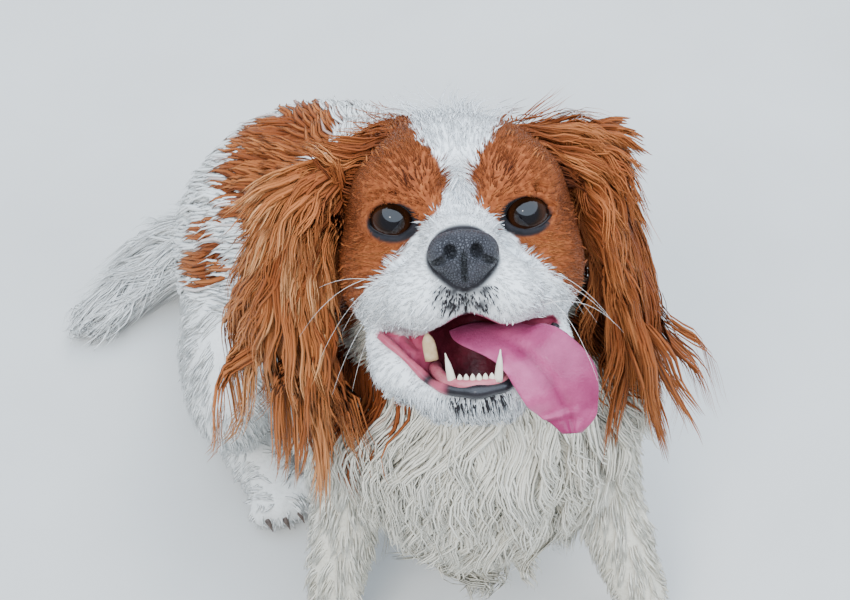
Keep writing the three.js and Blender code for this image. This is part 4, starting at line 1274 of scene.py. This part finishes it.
def grow(roots, lengths, style):
    """Guides from their roots along the lie, over the skin: their places and their outward ways."""
    count = len(roots["at"])
    lie, steps, sag = style["lie"](roots), style["steps"], style["sag"]
    low, high = style["lift"]
    out = roots["out"].astype(np.float64)
    heading = unit(lie - out * (lie * out).sum(1)[:, None] * FLATTENED)
    side = unit(np.cross(heading, out))
    own = rng.random(count) * 2 * np.pi
    phase = 3 * ripple(roots["at"], 170) + 0.2 * own
    swing = style["wave"] * (0.7 + 0.6 * rng.random(count))
    p = roots["at"].astype(np.float64)
    places, outs = [p.copy()], [out.copy()]
    down = np.array([0, 0, -1.0])
    for step in range(1, steps + 1):
        t = step / steps
        way = heading * (1 - sag * t) + down * sag * t
        turn = style["turns"] * 2 * np.pi * t
        bend = swing * np.cos(phase + turn)
        rise = swing * RISE * np.sin(own + turn)
        way = unit(way + side * bend[:, None] + out * rise[:, None])
        p = p + way * (lengths / steps)[:, None]
        gradient, value = slope_and_value(style["clear"], p.astype(np.float32), 1.0)
        uphill = unit(gradient.astype(np.float64))
        short = low + (high - low) * t - value
        p = p + uphill * np.where(short > 0, short, short * style["follow"])[:, None]
        p[:, 2] = np.maximum(p[:, 2], GUIDE_FLOOR)
        out = unit(out * 0.4 + uphill * 0.6)
        places.append(p.copy())
        outs.append(out.copy())
    return np.stack(places, 1), np.stack(outs, 1)


def lock_rows(paths, outs, widths):
    """Closed locks of three sides: their points and their triangles."""
    count, rings = paths.shape[:2]
    t = np.linspace(0, 1, rings)[None, :, None]
    ahead = unit(np.gradient(paths, axis=1))
    side = unit(np.cross(ahead, outs))
    up = np.cross(side, ahead)
    fullness = np.where(t < WIDEST, 0.7 + t, 1 - np.clip((t - WIDEST) / 0.7, 0, 1) ** 1.7)
    half = widths[:, None, None] * np.maximum(fullness, 0.02) / 2
    left, right, ridge = paths - side * half, paths + side * half, paths + up * half * RIDGE
    body = np.stack([left, right, ridge], axis=2)[:, :-1].reshape(count, -1, 3)
    points = np.concatenate([body, paths[:, -1:]], axis=1)
    each = points.shape[1]
    ring = np.arange(rings - 1)[:, None] * SIDES + np.arange(SIDES)
    a, b = ring[:-1].ravel(), np.roll(ring[:-1], -1, 1).ravel()
    c, d = ring[1:].ravel(), np.roll(ring[1:], -1, 1).ravel()
    tip = each - 1
    sides = np.vstack([np.stack([a, b, c], 1), np.stack([b, d, c], 1),
                       np.stack([ring[-1], np.roll(ring[-1], -1), np.full(SIDES, tip)], 1), [[0, 2, 1]]])
    faces = (np.arange(count)[:, None, None] * each + sides[None]).reshape(-1, 3)
    return points.reshape(-1, 3), faces, each


def make_coat(name, skin, style):
    """One piece of coat: guides, the locks round them, and what the finish reads."""
    weights = style["where"](skin)
    guides = skin.roots(weights, style["guides"])
    lengths = style["length"](guides) * (0.85 + 0.3 * rng.random(style["guides"]))
    paths, outs = grow(guides, lengths, style)
    locks = skin.roots(weights, style["count"])
    owner = nearest_guide(locks["at"], guides["at"])
    t = np.linspace(0, 1, style["steps"] + 1)[None, :, None]
    offset = (locks["at"] - guides["at"][owner])[:, None]
    reach = length_of(offset[:, 0])
    keep = 1 - style["clump"] * t ** 0.8
    stray = rng.normal(0, 1, (len(owner), 1, 3)) * style["stray"] * t ** 1.5
    trim = (0.72 + 0.28 * rng.random((len(owner), 1, 1)))
    relative = (paths[owner] - paths[owner][:, :1]) * trim
    lock_paths = locks["at"][:, None] + relative - offset * (1 - keep) + stray
    lock_paths[:, 0] -= locks["out"] * style["root"]
    lock_paths[:, :, 2] = np.maximum(lock_paths[:, :, 2], LOCK_FLOOR)
    keepers = reach < style["spread"]
    lock_paths, owner = lock_paths[keepers], owner[keepers]
    widths = style["width"] * (0.7 + 0.6 * rng.random(len(owner)))
    points, faces, each = lock_rows(lock_paths, outs[owner], widths)
    coat = piece_of(name, points, faces, style["finish"])
    root_at = locks["at"][keepers]
    astray = rng.normal(0, MARKING_MIX, root_at.shape).astype(np.float32)
    chestnut = markings(root_at + astray, locks["form"][keepers])
    guide_tone = rng.random(style["guides"])
    tone = 0.45 * guide_tone[owner] + 0.22 * rng.random(len(owner)) + 0.33 * (0.5 + 0.5 * ripple(root_at, 31))
    tone = style["shade"] * (0.5 + (tone - 0.5) * style["contrast"])
    tone = np.clip(tone + face_shading(to_head(root_at)), -0.4, 1.3)
    ring_of = np.minimum(np.arange(each) // SIDES, style["steps"])
    along = ring_of / style["steps"]
    dark = (muzzle_shadow(to_head(root_at)) > 0.08 + 0.75 * rng.random(len(owner))).astype(float)
    by_lock = {"chestnut": chestnut, "tone": tone, "cream": cream_and_shade_share(root_at), "dark": dark,
               "lock": rng.random(len(owner))}
    store(coat, **{label: np.repeat(values, each) for label, values in by_lock.items()})
    corner = np.arange(each) % SIDES
    across = np.append(np.array([-1, 1, 0])[corner[:-1]], 0)
    store(coat, along=np.tile(along, len(owner)), across=np.tile(across, len(owner)))
    patch = np.stack([corner / 2, along], axis=1) * PATCH
    uv = (locks["uv"][keepers][:, None] * (1 - PATCH) + patch[None]).reshape(-1, 2).astype(np.float32)
    layer = coat.data.uv_layers.new(name="OFBake")
    layer.data.foreach_set("uv", uv[faces.ravel()].ravel())


# How the coat lies and how long it is, part by part.
def form_is(source, *names):
    return np.isin(source["form"] if isinstance(source, dict) else source.forms,
                   [FORM_NAMES.index(name) for name in names])


def radial_lie(p):
    """Over the head the coat runs back from the nose."""
    q = to_head(p)
    return unit(q - vec(*NOSE_TIP)) @ HEAD_AXES.T


def head_way(across, back, up):
    """A way for each point, given in the head's frame."""
    return unit(np.stack(np.broadcast_arrays(across, back, up), axis=1)) @ HEAD_AXES.T


def wisp_lie(p):
    """Up and back over the top of the head, fanning out."""
    return head_way(to_head(p)[:, 0] / 26, 0.75, 0.45)


def ear_root_lie(p):
    """Off the side of the head on to the ear."""
    across = to_head(p)[:, 0]
    return head_way(np.sign(across), 0.25, np.where(across < 0, 0.42, 0.3))


def trunk_lie(p):
    """Back along the spine and down the sides; straight down at the breast."""
    middle = vec(14, 62, 0) + BACKWARD * ((p - vec(14, 62, 0)) @ BACKWARD)[:, None]
    side = unit((p - middle) * vec(1, 1, 0))
    back = smooth_step(p @ BACKWARD, 40, 110)[:, None]
    flank = BACKWARD * 0.8 + side * 0.25 + vec(0, 0, -0.75)
    breast = side * 0.15 + vec(0, -0.1, -1)
    return unit(flank * back + breast * (1 - back))


def one_way(*way):
    """The same lie at every root."""
    return lambda p: np.broadcast_to(unit(vec(*way)), p.shape)


def follow_path(path, p):
    """For each point the number of the nearest place on a path, and the way on from there."""
    near = ((p[:, None] - path[None]) ** 2).sum(-1).argmin(1)
    return near, unit(np.gradient(path, axis=0))[near]


def tail_lie(p):
    """Out along the tail and to its sides."""
    path = smooth_curve(TAIL, 30)
    near, ahead = follow_path(path, p)
    away = unit((p - path[near]) * np.array([1, 1, 0.3]))
    return unit(ahead * np.array([1, 1, 0.2]) + away * 0.9)


def ear_lie(side):
    ear = EARS[side]
    path = smooth_curve([at for at, half in ear["stations"]], 30)
    across = unit(np.cross(ear["fall"], ear["face"]))

    def lie(roots):
        p = roots["at"]
        near, ahead = follow_path(path, p)
        lean = ((p - path[near]) @ across) / 30
        share = (near / 29)[:, None]
        return unit(ahead * (1 - share) + ear["fall"] * share + across * (lean * 0.75)[:, None])
    return lie


def ear_length(side):
    ear = EARS[side]
    top = ear["stations"][0][0][2]
    low = ear["stations"][-1][0][2] - 30

    def length(roots):
        down = np.clip((top - roots["at"][:, 2]) / (top - low), 0, 1)
        return ear["reach"] * (0.45 + 0.55 * down)
    return length


def coat_styles():
    hair = coat_finish("coat_hair")
    base = dict(finish=hair, slot="coat_white", sag=0.3, wave=0.1, turns=1.0, follow=0.5, clump=0.5,
                stray=0.4, root=0.8, spread=20.0, shade=1.0, contrast=1.0, clear=skin_form)

    def head_mask(skin):
        q = skin.heads
        bare = (mouth_share(q) > 0.05) | (nose_form()(q) < 1.5)
        bare |= lid_skin(q) < 0
        return (form_is(skin, "head") & ~bare).astype(float)

    def on_face(q):
        """1 on the short coat round the nose, falling to 0 towards the crown."""
        return smooth_step(-length_of(q - vec(0, -10, -15)), -95, -70)

    def face(skin):
        return head_mask(skin) * on_face(skin.heads)

    def crown(skin):
        return head_mask(skin) * (1 - on_face(skin.heads) * 0.9)

    def to_edge(q):
        """How far it is to the eye or the mouth."""
        return np.minimum(eye_opening()(q), mouth_opening()(q))

    def face_length(roots):
        q = to_head(roots["at"])
        gap = length_of(q - vec(1, -36, -19))
        return np.minimum(np.interp(gap, (12, 25, 50, 75, 95), (2.4, 4.2, 7, 11, 20)),
                          np.interp(to_edge(q), (1, 12), (2.4, 12)))

    def crown_length(roots):
        q = to_head(roots["at"])
        gap = length_of(q - vec(0, 20, 0))
        return np.minimum(np.interp(gap, (40, 70, 110), (10, 17, 28)),
                          np.interp(to_edge(q), (1, 22), (3, 16)))

    def chin(skin):
        q = skin.heads
        return head_mask(skin) * smooth_step(-q[:, 2], 76, 82) * smooth_step(-q[:, 1], -30, 0)

    def chin_lie(p):
        return head_way(0.02 * to_head(p)[:, 0], -0.15, -1.0)

    def breast(skin):
        p = skin.centres
        front = smooth_step(-p @ BACKWARD, -70, -30)
        high = smooth_step(p[:, 2], 84, 114)
        return form_is(skin, "trunk") * front * high

    def barrel(skin):
        return form_is(skin, "trunk") * (1 - breast(skin) * 0.8)

    def beside_ears(skin):
        q = skin.heads
        band = smooth_step(np.abs(q[:, 0]), 23, 34) * smooth_step(q[:, 1], 20, 34)
        return form_is(skin, "head") * (band * smooth_step(q[:, 2], 6, 18))

    def ear_root_length(roots):
        q = to_head(roots["at"])
        return np.interp(q[:, 2], (5, 25, 45), (34, 50, 60)) * np.where(q[:, 0] < 0, 0.85, 1.1)

    def ear_cover(name, top):
        """All over the ear, and thickest at its root."""
        def cover(skin):
            near = smooth_step(-length_of(skin.centres - vec(*top)), -46, -22)
            return form_is(skin, name) * (1 + 3 * near)
        return cover

    def ear_tops(skin):
        near = [smooth_step(-length_of(skin.centres - vec(*EARS[side]["stations"][0][0])), -58, -40)
                for side in ("right", "left")]
        return form_is(skin, "ear_right", "ear_left") * np.maximum(*near)

    def nap_lie(roots):
        right = form_is(roots, "ear_right")[:, None]
        return np.where(right, ear_lie("right")(roots), ear_lie("left")(roots))

    def top_knot(skin):
        q = skin.heads
        return head_mask(skin) * (np.abs(q[:, 0]) < 34) * smooth_step(q[:, 1], 30, 46) * (q[:, 2] > 20)

    def legs(source):
        return form_is(source, "foreleg_right", "foreleg_left", "hindleg_right", "hindleg_left")

    def behind_legs(skin):
        rear = smooth_step(skin.normals @ vec(0, 1, 0), 0.1, 0.7)
        high = smooth_step(skin.centres[:, 2], 36, 60)
        return legs(skin) * rear * high

    def between(mask, axis, low, high):
        return lambda skin: mask(skin) * ((skin.centres[:, axis] > low) & (skin.centres[:, axis] <= high))

    lie_of = lambda direction: (lambda roots: direction(roots["at"]))
    even = lambda length: (lambda roots: np.full(len(roots["at"]), length))
    # Times 1.0 makes a weight of full precision from a yes or no.
    styles = {
        "coat_crown": dict(
            where=crown, guides=2200, count=6000, steps=3, lie=lie_of(radial_lie), length=crown_length,
            width=1.0, sag=0.05, wave=0.12, lift=(0.5, 1.8), clump=0.45, stray=0.5, spread=8.0),
        "coat_chin": dict(
            where=chin, guides=220, count=900, steps=3, lie=lie_of(chin_lie), length=even(11.0),
            width=0.6, sag=0.2, wave=0.15, lift=(0.5, 2.2), clump=0.3, stray=0.7, spread=5.0),
        "coat_ear_roots": dict(
            where=beside_ears, guides=190, count=2500, steps=8, lie=lie_of(ear_root_lie),
            length=ear_root_length, width=1.3, sag=0.38, wave=0.2, lift=(2, 11), clump=0.45, stray=1.6,
            follow=0.15, spread=14.0),
        "coat_ear_nap": dict(
            where=ear_tops, guides=900, count=3200, steps=3, lie=nap_lie, length=even(20.0), width=1.3,
            wave=0.15, lift=(0.6, 3.5), clump=0.4, stray=0.8, spread=8.0, slot="coat_chestnut"),
        "coat_wisps": dict(
            where=top_knot, guides=80, count=420, steps=8, lie=lie_of(wisp_lie), length=even(40.0),
            width=0.75, sag=-0.05, wave=0.35, turns=0.7, lift=(2, 15), clump=0.3, stray=3.0, follow=0.02,
            spread=16.0),
        "coat_legs": dict(
            where=lambda s: legs(s) * 1.0, guides=3000, count=10500, steps=2,
            lie=lie_of(one_way(0, 0.25, -1)),
            length=lambda r: np.interp(r["at"][:, 2], (10, 40, 90), (8, 14, 26)), width=1.5, sag=0.1,
            wave=0.12, turns=0.6, lift=(0.4, 3), stray=0.7, spread=9.0),
        "coat_feathers": dict(
            where=behind_legs, guides=110, count=850, steps=7, lie=lie_of(one_way(0, 0.7, -0.75)),
            length=even(44.0), width=1.1, sag=0.5, wave=0.3, lift=(1, 8), clump=0.6, stray=1.2,
            follow=0.1, spread=14.0),
        "coat_tail": dict(
            where=lambda s: form_is(s, "tail") * 1.0, guides=200, count=1600, steps=7,
            lie=lie_of(tail_lie), length=even(76.0), width=1.6, sag=0.2, wave=0.3, turns=0.9,
            lift=(1, 13), clump=0.55, stray=2.5, spread=16.0),
    }
    for level, low, high in (("lower", 60, 178), ("upper", 178, 420)):
        styles["coat_breast_" + level] = dict(
            where=between(breast, 2, low, high), guides=150, count=3250, steps=8, lie=lie_of(trunk_lie),
            length=lambda r: np.interp(r["at"][:, 2], (100, 180), (100, 82)), width=1.9, sag=0.36,
            wave=0.5, turns=1.25, lift=(1.5, 6), clump=0.45, stray=1.5, follow=0.25, spread=22.0)
    for end, low, high in (("front", -200, 150), ("rear", 150, 400)):
        styles["coat_barrel_" + end] = dict(
            where=between(barrel, 1, low, high), guides=900, count=5400, steps=4, lie=lie_of(trunk_lie),
            length=even(44.0), width=3.0, sag=0.2, wave=0.2, turns=0.9, lift=(0.6, 2.6), clump=0.42,
            stray=1.0, spread=14.0)
    for side, sign in (("right", -1), ("left", 1)):
        styles["coat_face_" + side] = dict(
            where=lambda s, sign=sign: face(s) * (s.heads[:, 0] * sign > 0), guides=6000, count=9000,
            steps=2, lie=lie_of(radial_lie), length=face_length, width=0.5, sag=0.0, wave=0.04,
            lift=(0.25, 0.7), clump=0.3, stray=0.14, root=0.4, spread=4.0, shade=0.8, contrast=0.45)
    # The right ear's coat is painted lighter than the left's: painted light, where the light falls more
    # strongly on that ear.
    for side, shade in (("right", 1.4), ("left", 0.9)):
        name = "ear_" + side
        styles["coat_" + name] = dict(
            where=ear_cover(name, EARS[side]["stations"][0][0]), guides=240, count=3100, steps=9,
            lie=ear_lie(side), length=ear_length(side), width=2.1, sag=0.15, wave=0.3, turns=1.5,
            lift=(1.2, 7), clump=0.45, stray=1.4, follow=0.12, spread=16.0, slot="coat_chestnut",
            shade=shade, contrast=0.8)
    return {name: {**base, **style} for name, style in styles.items()}


def make_whiskers():
    """Long white bristles from the muzzle."""
    finish = wet_finish("whiskers", (0.78, 0.75, 0.70), (0.92, 0.90, 0.87), 150.0, 0.0001, 0.35, 0.2)
    places, faces, count = [], [], 0
    form = head_form(DEPTH["head"])
    for side in (-1, 1):
        for row in range(3):
            for n in range(1, 3):
                root = np.array([side * (22 + 6 * n), -24 + 7 * n, -30 - 5.5 * row + 1.5 * n])
                root = settle(form, root[None].astype(np.float32))[0].astype(np.float64)
                way = unit(np.array([side * (1.0 + 0.1 * n), 0.16 + 0.16 * n - 0.1 * row,
                                     -0.05 - 0.16 * row]))
                way = unit(way + rng.normal(0, 0.22, 3))
                reach = 18 + 8 * n + 20 * rng.random()
                t = np.linspace(0, 1, 12)[:, None]
                droop = np.array([-0.1 * side, 0.35, -0.75]) * reach * (0.4 + 0.6 * rng.random())
                centres = root - way * 1.5 + way * reach * t + droop * t ** 2
                points, tris = cord(centres, 0.14 * (1 - 0.7 * t[:, 0]), (0.1, 0.2, 1), sides=4)
                places.append(points)
                faces.append(tris + count)
                count += len(points)
    whiskers = piece_of("whiskers", from_head(np.vstack(places)), np.vstack(faces), finish)


# The floor, the light and the camera.
FLOOR_SIZE = 30
ROOM_COLOUR = (0.86, 0.92, 1.0)
ROOM_STRENGTH = 0.55
# Each light's place from the head in metres, its width, its power and its colour.
LIGHTS = (("sky", (0.05, -0.05, 1.5), 3.4, 112, (0.68, 0.83, 1.0)),
          ("sparkle", (-0.45, -0.55, 1.2), 0.12, 1.2, (1.0, 0.98, 0.95)),
          ("key", (-1.0, -1.2, 1.7), 1.0, 38, (1.0, 0.96, 0.90)),
          ("fill", (1.5, -0.9, 1.1), 1.4, 14, (0.95, 0.97, 1.0)),
          ("rim", (0.6, 1.6, 1.3), 1.0, 16, (1.0, 0.98, 0.95)))
MIRRORED_IN_EYES = ("sky", "sparkle")


def make_stage():
    deselect_all()
    bpy.ops.mesh.primitive_plane_add(size=FLOOR_SIZE, location=(0, 0, 0))
    floor = bpy.context.object
    floor.name = "floor"
    floor.data.materials.append(floor_finish())
    floor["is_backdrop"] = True
    world = bpy.data.worlds.new("studio")
    bpy.context.scene.world = world
    world.use_nodes = True
    background = world.node_tree.nodes["Background"].inputs
    background["Color"].default_value = (*ROOM_COLOUR, 1)
    background["Strength"].default_value = ROOM_STRENGTH
    head = placed(HEAD_AT)
    for name, offset, size, power, colour in LIGHTS:
        light = bpy.data.lights.new(name, "AREA")
        light.shape = "DISK"
        light.size = size
        light.energy = power
        light.color = colour
        lamp = bpy.data.objects.new(name, light)
        bpy.context.scene.collection.objects.link(lamp)
        lamp.visible_glossy = name in MIRRORED_IN_EYES
        place = head + np.array(offset)
        back = unit(np.array(offset))
        right = unit(np.cross((0, 0, 1), back))
        set_frame(lamp, place, right, np.cross(back, right), back)


def set_frame(thing, place, right, up, back):
    rows = np.eye(4)
    rows[:3, 0], rows[:3, 1], rows[:3, 2], rows[:3, 3] = right, up, back, place
    thing.matrix_world = Matrix(rows.tolist())


def make_camera():
    place, right, up, back = camera_view()
    lens = bpy.data.cameras.new("camera")
    lens.lens = CAMERA_LENS
    lens.sensor_width = SENSOR_WIDTH
    camera = bpy.data.objects.new("camera", lens)
    bpy.context.scene.collection.objects.link(camera)
    set_frame(camera, placed(place), right, up, back)
    bpy.context.scene.camera = camera


def write_size():
    boxes = {"cad": cad_box, "visual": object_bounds()}
    plain = {name: [[float(value) for value in corner] for corner in box] for name, box in boxes.items()}


make_camera()
make_stage()
skin = make_skin()
make_nose()
wet_eye = eye_finish()
for side in (1, -1):
    make_eye(side, wet_eye)
make_lids()
make_tongue()
make_teeth()
make_lips()
make_claws()
skin_roots = Skin(skin)
for coat_name, coat_style in coat_styles().items():
    make_coat(coat_name, skin_roots, coat_style)
make_whiskers()
write_size()
